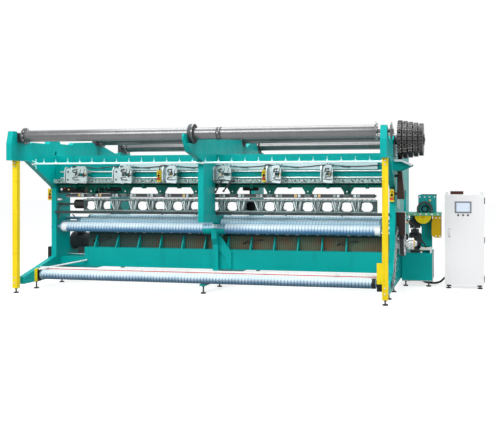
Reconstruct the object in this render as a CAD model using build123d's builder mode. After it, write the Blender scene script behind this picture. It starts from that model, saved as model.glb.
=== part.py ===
from build123d import *
import os
from math import cos, sin, hypot, pi, radians, atan2, degrees, acos

os.makedirs("parts", exist_ok=True)

# Warp knitting machine with its control cabinet, in millimetres.
# X runs along the machine, the working side faces -Y, the floor is Z = 0.
# The origin is under the front levelling foot of the middle frame.

# Frames
frame_inner_x = 2770
frame_thickness = 88
middle_half = frame_thickness / 2
frame_base_z = 120
frame_rear_y = 3350
arm_tip_y = -750
hook_tip_y = -775
arm_bottom_z = 2021
upright_front_y = 520
upright_depth = 455
upright_top_z = 1600
foot_tip_y = -420
foot_tip_height = 108
foot_slope_top_z = 470
column_front_y = -117
column_rear_y = 430
column_window_top_z = 2000
rear_column_depth = 700
window_corner = 80
toe_z = 140
end_window_z = (640, 1560)
right_window_y = (2150, 2650)
arm_hole_y, arm_hole_z, arm_hole_radius = 505, 2175, 36
roller_arm_bottom_z = 870
roller_arm_rear_y = 1262
column_chamfer = 26
toe_top_z = 290
brace_thickness = 30

# Warp beams, one above the posts and two behind
beam_radius = 87.5
beam_wall = 6
cradle_gap = 12.5
front_beam_y, front_beam_z = -500, 2396
mid_beam_y, mid_beam_z = 2000, 2474
rear_beam_y, rear_beam_z = 3050, 2392
beam_end_room = 70
beam_half_length = frame_inner_x - beam_end_room
beam_journal_radius = 30
collar_radius = 142
collar_pocket_gap = 6
collar_web = 22
collar_proud = 8
end_flange_radius = 128
end_flange_thickness = 22
sprocket_radius = 118
sprocket_thickness = 16
sprocket_offset = 40
bearing_half_width = 34
fit_gap = 0.05
running_gap = 0.3

# Posts and feet
post_x = 2820
post_y = -550
post_side = 80
post_wall = 5
post_foot_height = 75
foot_pad_radius = 40
foot_pad_height = 18
foot_stem_radius = 12
foot_nut_radius = 22
foot_nut_height = 16
foot_inset = 60
frame_foot_ys = (0, 776, 3100)

# Cross beams
upper_beam_y = (500, 800)
upper_beam_z = (1745, 2133)
lower_beam_y = (650, 1050)
lower_beam_z = (300, 615)
low_step_x = -2325
low_step_z = 450
rear_tie_y = (2750, 2950)
rear_tie_low_z = (300, 520)
rear_tie_high_z = (1860, 2080)
beam_plate = 12

# Knitting head
thread_rail_y, thread_rail_z, thread_rail_radius = -200, 1984, 13
eyelet_pitch = 205
eyelet_count = 26
eyelet_radius, eyelet_hole, eyelet_thickness = 11, 6, 4
cover_x = (-1590, 2600)
cover_z = (1890, 1998)
cover_front_y = 452
cover_sheet = 3
rod_y = 468
rod_radius = 11
upper_rod_z, lower_rod_z = 1868, 1767
rod_end_room = 110
head_half_length = frame_inner_x - rod_end_room
bracket_pitch = 851
bracket_first_x = -2446
bracket_count = 6
bracket_width = 116
bracket_cheek = 16
bracket_front_y = 300
bracket_z = (1690, 1945)
bolt_rail_y = (445, 640)
bolt_rail_z = (1680, 1745)
bolt_pitch = 148
head_box_xs = (-868, 862)
head_box_size = 64
swing_y, swing_z, swing_radius = 560, 1638, 28
clamp_radius = 38
hanger_pitch = 608
hanger_count = 8
hanger_top_width = 200
hanger_bottom_width = 105
hanger_thickness = 60
hanger_bottom_z = 1512
pad_z = (1496, 1512)
pad_width = 92
guide_bar_ys = (480, 640)
guide_bar_width = 40
guide_bar_z = (1462, 1495.7)
guide_bar_end_room = 210
guide_bar_half = frame_inner_x - guide_bar_end_room
guide_cheek = 8
guide_finger_z = 1452
guide_block_pitch = 152
arm_plate_y = (486, 530)
arm_plate_z = (1226, 1422)
arm_plate_x = (-2250, 2590)
arm_gap_pitch = 304
arm_gap_width = 184
arm_gap_height = 138
arm_gap_z = 1314
needle_bar_y = (534, 574)
needle_bar_z = (1386, 1416)
needle_tip_z = 1432
needle_group_pitch = 76
needle_stroke = 14
trick_y = (470, 640)
trick_z = (1180, 1222)
push_rod_y = (925, 965)
push_rod_thickness = 18
push_rod_bottom_z = 798
main_shaft_y, main_shaft_z, main_shaft_radius = 945, 740, 30
main_shaft_left_x = -2330
shaft_hole_gap = 4
eccentric_radius = 46
eccentric_width = 40
eccentric_throw = needle_stroke / 2

# Take-up and cloth roll
lower_roll_y, lower_roll_z, lower_roll_radius = 585, 955, 76
middle_roll_y, middle_roll_z, middle_roll_radius = 705, 1035, 65
upper_roll_y, upper_roll_z, upper_roll_radius = 845, 1090, 65
roll_journal_radius = 24
middle_break = 6
saddle_wall = 16
saddle_x = (-190, 160)
lower_roll_x = (-2700, 2635)
middle_roll_x = (-2440, 2640)
upper_roll_x = (-2330, 2645)
cloth_y, cloth_z = -50, 228
cloth_core_radius = 38
cloth_radius = 68
cloth_journal_radius = 20
cloth_x = (-2692, 2640)
chain_plane_x = 2880
chain_width = 12
chain_thickness = 12
roll_sprocket_radius = 58
spreader_y = (30, 66)
spreader_z = (284, 343)

# Trough covers over the lower beam
cover_panel_y = 790
cover_panel_thickness = 8
cover_panel_z = (lower_beam_z[1] + 1, 822)
strut_pitch = 385
strut_count = 12
strut_first_x = -2160
strut_thickness = 20

# Right end drive
pulley_x = (2900, 2975)
main_pulley_radius = 190
pulley_dish = 22
clutch_steps = ((0, 38, 60), (38, 78, 95), (78, 84, 50), (84, 118, 95), (118, 158, 45))
motor_pulley_radius = 80
motor_y, motor_z, motor_radius = 1650, 735, 130
motor_x = (2990, 3175)
motor_shaft_radius = 22
motor_bore_depth = 60
belt_thickness = 8
drive_base_gap, drive_base_width = 22, 490
drive_base_left_x = frame_inner_x + frame_thickness + drive_base_gap
drive_base_x = (drive_base_left_x, drive_base_left_x + drive_base_width)
drive_base_y = (1480, 2250)
drive_base_z = (90, 545)
drive_column_x = (3190, 3360)
drive_column_y = (1600, 1740)
drive_table_x = (frame_inner_x + frame_thickness, 3506)
drive_table_y = (1420, 1950)
drive_table_z = (1155, 1200)
gearbox_x = (3140, 3426)
gearbox_y = (1560, 1860)
gearbox_top_z = 1488
reducer_x, reducer_y = (3010, 3175), (1494, 1584)
reducer_bottom_z = 950
arch_x, arch_y = 3250, (1440, 1540)
arch_radius, arch_wall = 128, 36
half_guard_x, half_guard_radius = 3225, 132
belt_guard_x = (3360, 3506)
belt_guard_y = (1440, 1900)
belt_guard_z = (800, 1152)
guard_sheet = 4
guard_corner = 24

# Pattern drum on the right end
drum_y, drum_z = 450, 2325
drum_shaft_radius = 30
drum_radius = 215
chain_depth = 77
drum_step = 13
drum_first_x = 2912
drum_track = 60
drum_pitch = 78
drum_count = 5
chain_links = 30

# Handwheel and motor inside the left frame
handwheel_y, handwheel_z, handwheel_radius = 600, 1335, 72
handwheel_x = (-2455, -2275)
handwheel_shaft_radius = 16
take_up_motor_y, take_up_motor_z, take_up_motor_radius = 1110, 690, 130
take_up_motor_x = (-2755, -2420)

# Control cabinet
cabinet_left_x, cabinet_width = 3570, 610
cabinet_x = (cabinet_left_x, cabinet_left_x + cabinet_width)
cabinet_y = (1350, 1750)
cabinet_z = (65, 1500)
cabinet_sheet = 2
door_thickness = 22
door_gap = 2
screen_width, screen_offset = 242, -19
screen_mid_x = cabinet_left_x + cabinet_width / 2 + screen_offset
screen_x = (screen_mid_x - screen_width / 2, screen_mid_x + screen_width / 2)
screen_z = (1212, 1382)
cabinet_button_pitch = 76
cabinet_button_xs = [screen_mid_x + side * cabinet_button_pitch for side in (-1, 0, 1)]
cabinet_button_z = 1172
button_radius = 14
button_travel = 4
roof_housing_width, roof_housing_side = 205, 85
roof_housing_x = (cabinet_left_x + roof_housing_side,
                  cabinet_left_x + roof_housing_side + roof_housing_width)
roof_housing_y = (1500, 1680)
roof_housing_height = 50


def block(x, y, z, mode=Mode.ADD):
    """Box between two limits on each axis."""
    with Locations(((x[0] + x[1]) / 2, (y[0] + y[1]) / 2, (z[0] + z[1]) / 2)):
        Box(x[1] - x[0], y[1] - y[0], z[1] - z[0], mode=mode)


def bar(x, y, z, radius, mode=Mode.ADD):
    """Round bar along X between two limits."""
    with Locations(Location(((x[0] + x[1]) / 2, y, z), (0, 90, 0))):
        Cylinder(radius, x[1] - x[0], mode=mode)


def stud(x, y, z, radius, mode=Mode.ADD):
    """Round bar along Y between two limits."""
    with Locations(Location((x, (y[0] + y[1]) / 2, z), (90, 0, 0))):
        Cylinder(radius, y[1] - y[0], mode=mode)


def pillar(x, y, z, radius, mode=Mode.ADD):
    """Round bar along Z between two limits."""
    with Locations((x, y, (z[0] + z[1]) / 2)):
        Cylinder(radius, z[1] - z[0], mode=mode)


def along_x(positions):
    """Places for what repeats along the machine."""
    return Locations(*[(x, 0, 0) for x in positions])


def side_plates(positions, thickness, outline, mode=Mode.ADD):
    """Equal plates from one outline in Y and Z, each starting at a position on X."""
    with BuildSketch(*[Plane.YZ.offset(x) for x in positions]) as profile:
        Polygon(*outline, align=None)
    extrude(profile.sketch, amount=thickness, mode=mode)


def side_plate(x, outline, mode=Mode.ADD):
    """Plate between two X limits from an outline in Y and Z."""
    side_plates([x[0]], x[1] - x[0], outline, mode)


def spread(count, pitch):
    """Positions of a centred row."""
    return [(index - (count - 1) / 2) * pitch for index in range(count)]


def keep(builder, name):
    builder.part.label = name
    export_step(builder.part, f"parts/{name}.step")


# Cradles hold the three warp beams on top of every frame.
cradle_radius = beam_radius + cradle_gap
beam_axes = (
    (front_beam_y, front_beam_z),
    (mid_beam_y, mid_beam_z),
    (rear_beam_y, rear_beam_z),
)
front_seat_z = front_beam_z - cradle_radius
mid_seat_z = mid_beam_z - cradle_radius
rear_seat_z = rear_beam_z - cradle_radius
roll_axes = (
    (lower_roll_y, lower_roll_z),
    (middle_roll_y, middle_roll_z),
    (upper_roll_y, upper_roll_z),
)
ear_top_z = front_beam_z + 67
arm_top_z = front_seat_z + 22
rear_lug_y = frame_rear_y - 130

end_outline = [
    (arm_tip_y, arm_bottom_z),
    (arm_tip_y, arm_bottom_z + 253),
    (arm_tip_y + 50, ear_top_z),
    (front_beam_y - cradle_radius, ear_top_z),
    (front_beam_y - cradle_radius, front_seat_z),
    (front_beam_y + cradle_radius + 190, front_seat_z),
    (front_beam_y + cradle_radius + 210, arm_top_z),
    (300, arm_top_z),
    (330, arm_top_z + 63),
    (620, arm_top_z + 63),
    (660, arm_top_z + 22),
    (1040, arm_top_z + 22),
    (1100, arm_top_z + 66),
    (mid_beam_y - 240, arm_top_z + 108),
    (mid_beam_y - cradle_radius, mid_seat_z),
    (mid_beam_y + cradle_radius, mid_seat_z),
    (mid_beam_y + 230, mid_seat_z - 8),
    (rear_beam_y - 330, rear_seat_z - 40),
    (rear_beam_y - cradle_radius, rear_seat_z),
    (rear_beam_y + cradle_radius, rear_seat_z),
    (rear_lug_y - 40, rear_beam_z + 8),
    (frame_rear_y, rear_beam_z + 8),
    (frame_rear_y, frame_base_z),
    (foot_tip_y, frame_base_z),
    (foot_tip_y, frame_base_z + foot_tip_height),
    (upright_front_y, foot_slope_top_z),
    (upright_front_y, upright_top_z),
    (arm_tip_y + 470, arm_bottom_z),
]


def roller_bores(x):
    """Bores for the journals of the three take-up rollers."""
    for y, z in roll_axes:
        bar(x, y, z, roll_journal_radius + fit_gap, mode=Mode.SUBTRACT)


def shaft_bore(x):
    """Clearance hole for the main shaft, which its own bearings carry."""
    bar(x, main_shaft_y, main_shaft_z, main_shaft_radius + shaft_hole_gap, mode=Mode.SUBTRACT)


left_x = (-frame_inner_x - frame_thickness, -frame_inner_x)
right_x = (frame_inner_x, frame_inner_x + frame_thickness)
left_window_y = (upright_front_y + upright_depth, frame_rear_y - rear_column_depth)

with BuildPart() as left_frame:
    side_plate(left_x, end_outline)
    with BuildSketch(Plane.YZ.offset(left_x[0])):
        with Locations((sum(left_window_y) / 2, sum(end_window_z) / 2)):
            RectangleRounded(
                left_window_y[1] - left_window_y[0],
                end_window_z[1] - end_window_z[0],
                window_corner,
            )
    extrude(amount=frame_thickness, mode=Mode.SUBTRACT)
    roller_bores(left_x)
    bar(left_x, arm_hole_y, arm_hole_z, arm_hole_radius, mode=Mode.SUBTRACT)
    bar(left_x, handwheel_y, handwheel_z, handwheel_shaft_radius + fit_gap, mode=Mode.SUBTRACT)
keep(left_frame, "left_frame")

with BuildPart() as right_frame:
    side_plate(right_x, end_outline)
    with BuildSketch(Plane.YZ.offset(right_x[0])):
        with Locations((sum(right_window_y) / 2, sum(end_window_z) / 2)):
            RectangleRounded(
                right_window_y[1] - right_window_y[0],
                end_window_z[1] - end_window_z[0],
                window_corner,
            )
    extrude(amount=frame_thickness, mode=Mode.SUBTRACT)
    roller_bores(right_x)
    shaft_bore(right_x)
    bar(right_x, cloth_y, cloth_z, cloth_journal_radius + fit_gap, mode=Mode.SUBTRACT)
    bar(right_x, drum_y, drum_z, drum_shaft_radius + fit_gap, mode=Mode.SUBTRACT)
keep(right_frame, "right_frame")

# The middle frame carries the beams on a hooked arm and the rollers at mid-length.
middle_x = (-middle_half, middle_half)
roller_arm_z = (roller_arm_bottom_z, trick_z[0])
saddle_front_y = lower_roll_y - lower_roll_radius - saddle_wall
collar_x = (-middle_half + collar_web, middle_half + collar_proud)
pocket_x = (collar_x[0], middle_half)
rear_column_y = (frame_rear_y - rear_column_depth, frame_rear_y)
middle_outline = [
    (hook_tip_y, front_beam_z - 100),
    (hook_tip_y, front_beam_z - 46),
    (hook_tip_y + 25, front_beam_z - 11),
    (front_beam_y - cradle_radius, front_beam_z - 11),
    (front_beam_y - cradle_radius, front_seat_z),
    (front_beam_y + cradle_radius, front_seat_z),
    (front_beam_y + cradle_radius, arm_top_z + 10),
    (mid_beam_y - 150, mid_seat_z + 66),
    (mid_beam_y - cradle_radius, mid_seat_z),
    (mid_beam_y + cradle_radius, mid_seat_z),
    (mid_beam_y + 200, mid_seat_z - 44),
    (mid_beam_y + 450, rear_beam_z + 28),
    (rear_beam_y - 250, rear_beam_z + 38),
    (rear_beam_y - cradle_radius, rear_seat_z),
    (rear_beam_y + cradle_radius, rear_seat_z),
    (frame_rear_y, rear_beam_z - 130),
    (frame_rear_y, toe_z - 20),
    (-60, toe_z - 20),
    (-60, toe_z + 6),
    (120, toe_z + 6),
    (300, toe_top_z),
    (560, toe_top_z),
    (560, 700),
    (saddle_front_y, 800),
    (saddle_front_y, lower_roll_z),
    (saddle_front_y + 52, lower_roll_z + 35),
    (560, lower_roll_z + 95),
    (column_front_y, lower_roll_z + 130),
    (column_front_y, column_window_top_z),
    (-244, 2037),
    (-432, 2082),
    (-638, 2125),
    (hook_tip_y + 62, 2207),
]
saddle_bore = lower_roll_radius + running_gap

with BuildPart() as middle_frame:
    side_plate(middle_x, middle_outline)
    with BuildSketch(Plane.YZ.offset(middle_x[0])):
        with BuildLine():
            Polyline(
                (column_rear_y, column_window_top_z),
                (column_rear_y, roller_arm_z[1] + column_chamfer),
                (column_rear_y + column_chamfer, roller_arm_z[1]),
                (roller_arm_rear_y, roller_arm_z[1]),
                (roller_arm_rear_y, roller_arm_z[0]),
                (roller_arm_rear_y + 220, 430),
                (rear_column_y[0], 430),
                (rear_column_y[0], column_window_top_z),
                close=True,
            )
        make_face()
    extrude(amount=frame_thickness, mode=Mode.SUBTRACT)
    with BuildSketch(Plane.YZ.offset(saddle_x[0])) as saddle:
        with Locations((lower_roll_y, lower_roll_z)):
            Circle(lower_roll_radius + saddle_wall)
        with Locations((lower_roll_y, lower_roll_z + lower_roll_radius)):
            Rectangle(4 * lower_roll_radius, 2 * lower_roll_radius, mode=Mode.SUBTRACT)
        with Locations((lower_roll_y + 2 * lower_roll_radius, lower_roll_z)):
            Rectangle(4 * lower_roll_radius, 4 * lower_roll_radius, mode=Mode.SUBTRACT)
    extrude(saddle.sketch, amount=saddle_x[1] - saddle_x[0])
    with BuildSketch(Plane.XZ.offset(-lower_beam_y[0])) as brace:
        Polygon(
            (-65, 700),
            (-65, 832),
            (68, 832),
            (249, 582),
            (249, lower_beam_z[0] + 10),
            (191, lower_beam_z[0] + 10),
            (160, 483),
            align=None,
        )
    extrude(brace.sketch, amount=brace_thickness)
    bar(saddle_x, lower_roll_y, lower_roll_z, saddle_bore, mode=Mode.SUBTRACT)
    for y, z in beam_axes:
        bar(pocket_x, y, z, collar_radius + collar_pocket_gap, mode=Mode.SUBTRACT)
    block(pocket_x, (hook_tip_y - 10, front_beam_y),
          (front_beam_z - collar_radius - collar_pocket_gap, front_beam_z), mode=Mode.SUBTRACT)
    roller_bores(middle_x)
    shaft_bore(middle_x)
keep(middle_frame, "middle_frame")

# Square posts stand under the tips of the end frames.
with BuildPart() as front_posts:
    for x in (-post_x, post_x):
        half = post_side / 2
        block(
            (x - half, x + half),
            (post_y - half, post_y + half),
            (post_foot_height, arm_bottom_z),
        )
        inner = half - post_wall
        block(
            (x - inner, x + inner),
            (post_y - inner, post_y + inner),
            (post_foot_height + post_wall, arm_bottom_z - post_wall),
            mode=Mode.SUBTRACT,
        )
keep(front_posts, "front_posts")


def levelling_foot_set(places, top):
    """Round pad, threaded stem and lock nut of levelling feet of one height."""
    with Locations(*[(x, y, 0) for x, y in places]):
        pillar(0, 0, (0, foot_pad_height), foot_pad_radius)
        pillar(0, 0, (foot_pad_height, top), foot_stem_radius)
        pillar(0, 0, (top - foot_nut_height, top), foot_nut_radius)


def corner_places(x, y):
    """Foot places set in from the corners of a standing box."""
    return [(a, b) for a in (x[0] + foot_inset, x[1] - foot_inset)
            for b in (y[0] + foot_inset, y[1] - foot_inset)]


frame_centre_x = frame_inner_x + middle_half
with BuildPart() as levelling_feet:
    levelling_foot_set([(-post_x, post_y), (post_x, post_y)], post_foot_height)
    levelling_foot_set(
        [(x, y) for x in (-frame_centre_x, 0, frame_centre_x) for y in frame_foot_ys],
        frame_base_z,
    )
    levelling_foot_set(corner_places(drive_base_x, drive_base_y), drive_base_z[0])
    levelling_foot_set(corner_places(cabinet_x, cabinet_y), cabinet_z[0])
keep(levelling_feet, "levelling_feet")


# Cross beams are box sections butted between the frames.
def box_beam(x, y, z, wall):
    block(x, y, z)
    block(
        x,
        (y[0] + wall, y[1] - wall),
        (z[0] + wall, z[1] - wall),
        mode=Mode.SUBTRACT,
    )


gap_x = [index * arm_gap_pitch for index in range(-7, 9)]
web_x = [x + arm_gap_pitch / 2 for x in gap_x[:-1]]
push_x = [web_x[index] for index in (0, 3, 5, 8, 10, 13)]
pillow_x = [main_shaft_left_x + 40] + [x + 120 for x in push_x] + [frame_inner_x - 60]
left_span = (-frame_inner_x, -middle_half)
right_span = (middle_half, frame_inner_x)
with BuildPart() as upper_beams:
    box_beam(left_span, upper_beam_y, upper_beam_z, beam_plate)
    box_beam(right_span, upper_beam_y, upper_beam_z, beam_plate)
keep(upper_beams, "upper_beams")

with BuildPart() as lower_beams:
    box_beam((low_step_x, -middle_half), lower_beam_y, lower_beam_z, beam_plate)
    box_beam(
        (-frame_inner_x, low_step_x), lower_beam_y, (lower_beam_z[0], low_step_z), beam_plate
    )
    box_beam(right_span, lower_beam_y, lower_beam_z, beam_plate)
    side_plates(
        [strut_first_x + index * strut_pitch for index in range(strut_count)],
        strut_thickness,
        [
            (lower_beam_y[0] + 6, lower_beam_z[1]),
            (cover_panel_y, lower_beam_z[1]),
            (cover_panel_y, cover_panel_z[1] - 4),
            (cover_panel_y - 22, cover_panel_z[1] - 4),
        ],
    )
    with along_x(pillow_x):
        block((-24, 24), (main_shaft_y - 70, main_shaft_y + 70), (lower_beam_z[1], main_shaft_z))
        bar((-24, 24), main_shaft_y, main_shaft_z, main_shaft_radius + 22)
        bar((-24, 24), main_shaft_y, main_shaft_z, main_shaft_radius + fit_gap,
            mode=Mode.SUBTRACT)
keep(lower_beams, "lower_beams")

with BuildPart() as rear_beams:
    for span in (left_span, right_span):
        for height in (rear_tie_low_z, rear_tie_high_z):
            box_beam(span, rear_tie_y, height, beam_plate)
keep(rear_beams, "rear_beams")


# Each warp beam is a tube with end flanges, journals and a chain sprocket.
def warp_beam(y, z):
    bar((-beam_half_length, beam_half_length), y, z, beam_radius)
    bar(
        (-beam_half_length + 20, beam_half_length - 20),
        y,
        z,
        beam_radius - beam_wall,
        mode=Mode.SUBTRACT,
    )
    for side in (-1, 1):
        inner = side * (beam_half_length - end_flange_thickness)
        outer = side * beam_half_length
        bar((min(inner, outer), max(inner, outer)), y, z, end_flange_radius)
    journal_end = frame_inner_x + frame_thickness + 6
    bar((-journal_end, -beam_half_length), y, z, beam_journal_radius)
    sprocket_x = frame_inner_x + frame_thickness + sprocket_offset
    bar((beam_half_length, sprocket_x + 30), y, z, beam_journal_radius)
    bar((sprocket_x - sprocket_thickness / 2, sprocket_x + sprocket_thickness / 2), y, z,
        sprocket_radius)
    bar((sprocket_x - 20, sprocket_x + 26), y, z, 46)


beam_names = ("front_warp_beam", "middle_warp_beam", "rear_warp_beam")
for (y, z), name in zip(beam_axes, beam_names):
    with BuildPart() as beam:
        warp_beam(y, z)
    keep(beam, name)


# Bearing blocks fill the end cradles, and collars carry the tubes at the middle frame.
def seat_block(x, y, z, bore, seat):
    half = cradle_radius - 2
    side_low = (y - half, y + half)
    block(x, side_low, (seat, z + bore + 20))
    bar(x, y, z, bore, mode=Mode.SUBTRACT)


with BuildPart() as beam_bearings:
    for (y, z), seat in zip(beam_axes, (front_seat_z, mid_seat_z, rear_seat_z)):
        for x in (left_x, right_x):
            centre = sum(x) / 2
            span = (centre - bearing_half_width, centre + bearing_half_width)
            seat_block(span, y, z, beam_journal_radius + fit_gap, seat)
        block(
            (-middle_half, collar_x[0]),
            (y - cradle_radius + 1, y + cradle_radius - 1),
            (seat, z - 10),
        )
        bar(collar_x, y, z, collar_radius)
        bar((-middle_half, collar_x[1]), y, z, beam_radius + fit_gap, mode=Mode.SUBTRACT)
keep(beam_bearings, "beam_bearings")

# The thread rail with its eyelets runs along the front of the arms.
with BuildPart() as thread_rail:
    bar((-frame_inner_x, frame_inner_x), thread_rail_y, thread_rail_z, thread_rail_radius)
    with along_x(spread(eyelet_count, eyelet_pitch)):
        eyelet_z = thread_rail_z + thread_rail_radius + eyelet_radius
        eyelet_y = (thread_rail_y - eyelet_thickness / 2, thread_rail_y + eyelet_thickness / 2)
        stud(0, eyelet_y, eyelet_z, eyelet_radius + 2)
        stud(0, eyelet_y, eyelet_z, eyelet_hole, mode=Mode.SUBTRACT)
keep(thread_rail, "thread_rail")

# The sheet cover closes the front of the upper beam above the rods.
with BuildPart() as head_cover:
    block(cover_x, (cover_front_y, upper_beam_y[0]), cover_z)
    block(
        cover_x,
        (cover_front_y + cover_sheet, upper_beam_y[0]),
        (cover_z[0] + cover_sheet, cover_z[1] - cover_sheet),
        mode=Mode.SUBTRACT,
    )
keep(head_cover, "head_cover")

# Two ground rods run the length of the head through the cast brackets.
with BuildPart() as head_rods:
    for z in (upper_rod_z, lower_rod_z):
        bar((-head_half_length, head_half_length), rod_y, z, rod_radius)
keep(head_rods, "head_rods")

bracket_x = [bracket_first_x + index * bracket_pitch for index in range(bracket_count)]


bracket_half = bracket_width / 2
bracket_outline = [
    (bracket_front_y, bracket_z[0] + 40),
    (bracket_front_y, bracket_z[1] - 60),
    (bracket_front_y + 50, bracket_z[1]),
    (cover_front_y - running_gap, bracket_z[1]),
    (cover_front_y - running_gap, cover_z[0] - 1),
    (upper_beam_y[0], cover_z[0] - 1),
    (upper_beam_y[0], upper_beam_z[0] + 1),
    (bolt_rail_y[0] - 1, upper_beam_z[0] + 1),
    (bolt_rail_y[0] - 1, bracket_z[0]),
    (bracket_front_y + 40, bracket_z[0]),
]

# Each cast bracket has two cheeks, a web with bolt heads and bosses round the rods.
with BuildPart() as rod_brackets:
    side_plates([x - bracket_half for x in bracket_x], bracket_cheek, bracket_outline)
    side_plates([x + bracket_half - bracket_cheek for x in bracket_x], bracket_cheek,
                bracket_outline)
    with along_x(bracket_x):
        span = (-bracket_half, bracket_half)
        block(span, (bracket_front_y + 90, bracket_front_y + 106),
              (bracket_z[0] + 30, bracket_z[1] - 30))
        block(span, (bracket_front_y + 106, bolt_rail_y[0] - 1),
              (bracket_z[0] + 20, bracket_z[0] + 36))
        bar(span, rod_y, upper_rod_z, rod_radius + 9)
        bar(span, rod_y, lower_rod_z, rod_radius + 9)
        with Locations(*[(dx, 0, dz) for dx in (-28, 28) for dz in (40, 95, 150, 205)]):
            stud(0, (bracket_front_y + 78, bracket_front_y + 90), bracket_z[0], 9)
    for z in (upper_rod_z, lower_rod_z):
        bar((-head_half_length, head_half_length), rod_y, z, rod_radius + fit_gap,
            mode=Mode.SUBTRACT)
keep(rod_brackets, "rod_brackets")

# The bolted rail under the beam holds the swing shaft in split lugs.
hanger_x = spread(hanger_count, hanger_pitch)
lug_x = spread(hanger_count + 1, hanger_pitch)
with BuildPart() as bolt_rail:
    block((-frame_inner_x, frame_inner_x), bolt_rail_y, bolt_rail_z)
    with along_x(lug_x):
        block((-22, 22), (swing_y - 46, swing_y + 46), (swing_z - 44, bolt_rail_z[0]))
    bar((-frame_inner_x, frame_inner_x), swing_y, swing_z, swing_radius + fit_gap,
        mode=Mode.SUBTRACT)
    bolt_total = 1 + int(2 * (frame_inner_x - 60) / bolt_pitch)
    clear_x = [x for x in spread(bolt_total, bolt_pitch)
               if min(abs(x - b) for b in bracket_x) > bracket_half + 16
               and min(abs(x - b) for b in head_box_xs) > head_box_size / 2 + 16]
    with along_x(clear_x):
        stud(0, (bolt_rail_y[0] - 9, bolt_rail_y[0]), sum(bolt_rail_z) / 2, 11)
keep(bolt_rail, "bolt_rail")

# The hangers are clamped on the swing shaft, and their pads guide both guide bars.
pad_y = (
    guide_bar_ys[0] - guide_bar_width / 2 - guide_cheek - running_gap,
    guide_bar_ys[1] + guide_bar_width / 2 + guide_cheek + running_gap,
)
with BuildPart() as hanger_arms:
    with BuildSketch(Plane.XZ.offset(-swing_y)):
        with Locations(*[(x, 0) for x in hanger_x]):
            Polygon(
                (-hanger_top_width / 2, swing_z),
                (hanger_top_width / 2, swing_z),
                (hanger_top_width / 2, swing_z - 26),
                (hanger_bottom_width / 2, hanger_bottom_z + 26),
                (hanger_bottom_width / 2, hanger_bottom_z),
                (-hanger_bottom_width / 2, hanger_bottom_z),
                (-hanger_bottom_width / 2, hanger_bottom_z + 26),
                (-hanger_top_width / 2, swing_z - 26),
                align=None,
            )
    extrude(amount=hanger_thickness / 2, both=True)
    with along_x(hanger_x):
        bar((-hanger_top_width / 2, hanger_top_width / 2), swing_y, swing_z, clamp_radius)
        pad_x = (-pad_width / 2, pad_width / 2)
        block(pad_x, pad_y, pad_z)
        for y in guide_bar_ys:
            for side in (-1, 1):
                inner = y + side * (guide_bar_width / 2 + running_gap)
                outer = inner + side * guide_cheek
                block(pad_x, (min(inner, outer), max(inner, outer)),
                      (guide_bar_z[0] - 6, pad_z[0]))
                lip = inner - side * 6
                block(pad_x, (min(lip, outer), max(lip, outer)),
                      (guide_bar_z[0] - 6, guide_bar_z[0] - running_gap))
    bar((-frame_inner_x + 20, frame_inner_x - 20), swing_y, swing_z, swing_radius)
keep(hanger_arms, "hanger_arms")


def guide_bar(y):
    """Guide bar with its clamped lead blocks and thin guide fingers."""
    block((-guide_bar_half, guide_bar_half), (y - guide_bar_width / 2, y + guide_bar_width / 2),
          guide_bar_z)
    finger_count = int(2 * guide_bar_half / needle_group_pitch)
    with along_x(spread(finger_count, needle_group_pitch)):
        block((-14, 14), (y - 4, y + 4), (guide_finger_z, guide_bar_z[0]))


for y, name in zip(guide_bar_ys, ("front_guide_bar", "rear_guide_bar")):
    with BuildPart() as guide:
        guide_bar(y)
    keep(guide, name)

# The needle arms are one long casting pierced by rounded gaps, with push rods behind.
with BuildPart() as needle_arms:
    block(arm_plate_x, arm_plate_y, arm_plate_z)
    with BuildSketch(Plane.XZ.offset(-arm_plate_y[1])):
        with Locations(*[(x, arm_gap_z) for x in gap_x]):
            RectangleRounded(arm_gap_width, arm_gap_height, arm_gap_height / 2 - 4)
    extrude(amount=arm_plate_y[1] - arm_plate_y[0], mode=Mode.SUBTRACT)
    rib_x = [x + offset for x in web_x for offset in (-14, 14)]
    with along_x(rib_x):
        block((-5, 5), (arm_plate_y[0] - 14, arm_plate_y[0]),
              (arm_plate_z[0] + 20, arm_plate_z[1] - 24))
    block(arm_plate_x, (arm_plate_y[0] - 16, arm_plate_y[0]),
          (arm_plate_z[0], arm_plate_z[0] + 20))
    block(arm_plate_x, (arm_plate_y[0] - 16, arm_plate_y[0]),
          (arm_plate_z[1] - 24, arm_plate_z[1]))
    with along_x(push_x):
        half = push_rod_thickness / 2
        block((-half, half), (arm_plate_y[1] + fit_gap, push_rod_y[1]),
              (arm_plate_z[0], arm_plate_z[0] + 24))
        block((-half, half), push_rod_y, (push_rod_bottom_z, arm_plate_z[0] - fit_gap))
keep(needle_arms, "needle_arms")

with BuildPart() as needle_bar:
    block((arm_plate_x[0] + 20, arm_plate_x[1] - 20), (arm_plate_y[1], needle_bar_y[1]),
          needle_bar_z)
    with along_x([index * needle_group_pitch for index in range(-29, 34)]):
        block((-16, 16), (needle_bar_y[0] + 14, needle_bar_y[0] + 22),
              (needle_bar_z[1], needle_tip_z))
keep(needle_bar, "needle_bar")

# The fixed trick plate carries slideways behind the webs of the needle casting.
slideway_y = (arm_plate_y[1] + running_gap, arm_plate_y[1] + 30)
slideway_z = (trick_z[1], needle_bar_z[0] - 20)
with BuildPart() as trick_plate:
    block((-frame_inner_x, frame_inner_x), trick_y, trick_z)
    with along_x([x for x in web_x if x not in push_x]):
        block((-20, 20), slideway_y, slideway_z)
    block((-frame_inner_x + 30, frame_inner_x - 30), (trick_y[0] - 10, trick_y[0]),
          (trick_z[0] + 8, trick_z[1] - 12))
keep(trick_plate, "trick_plate")

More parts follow.
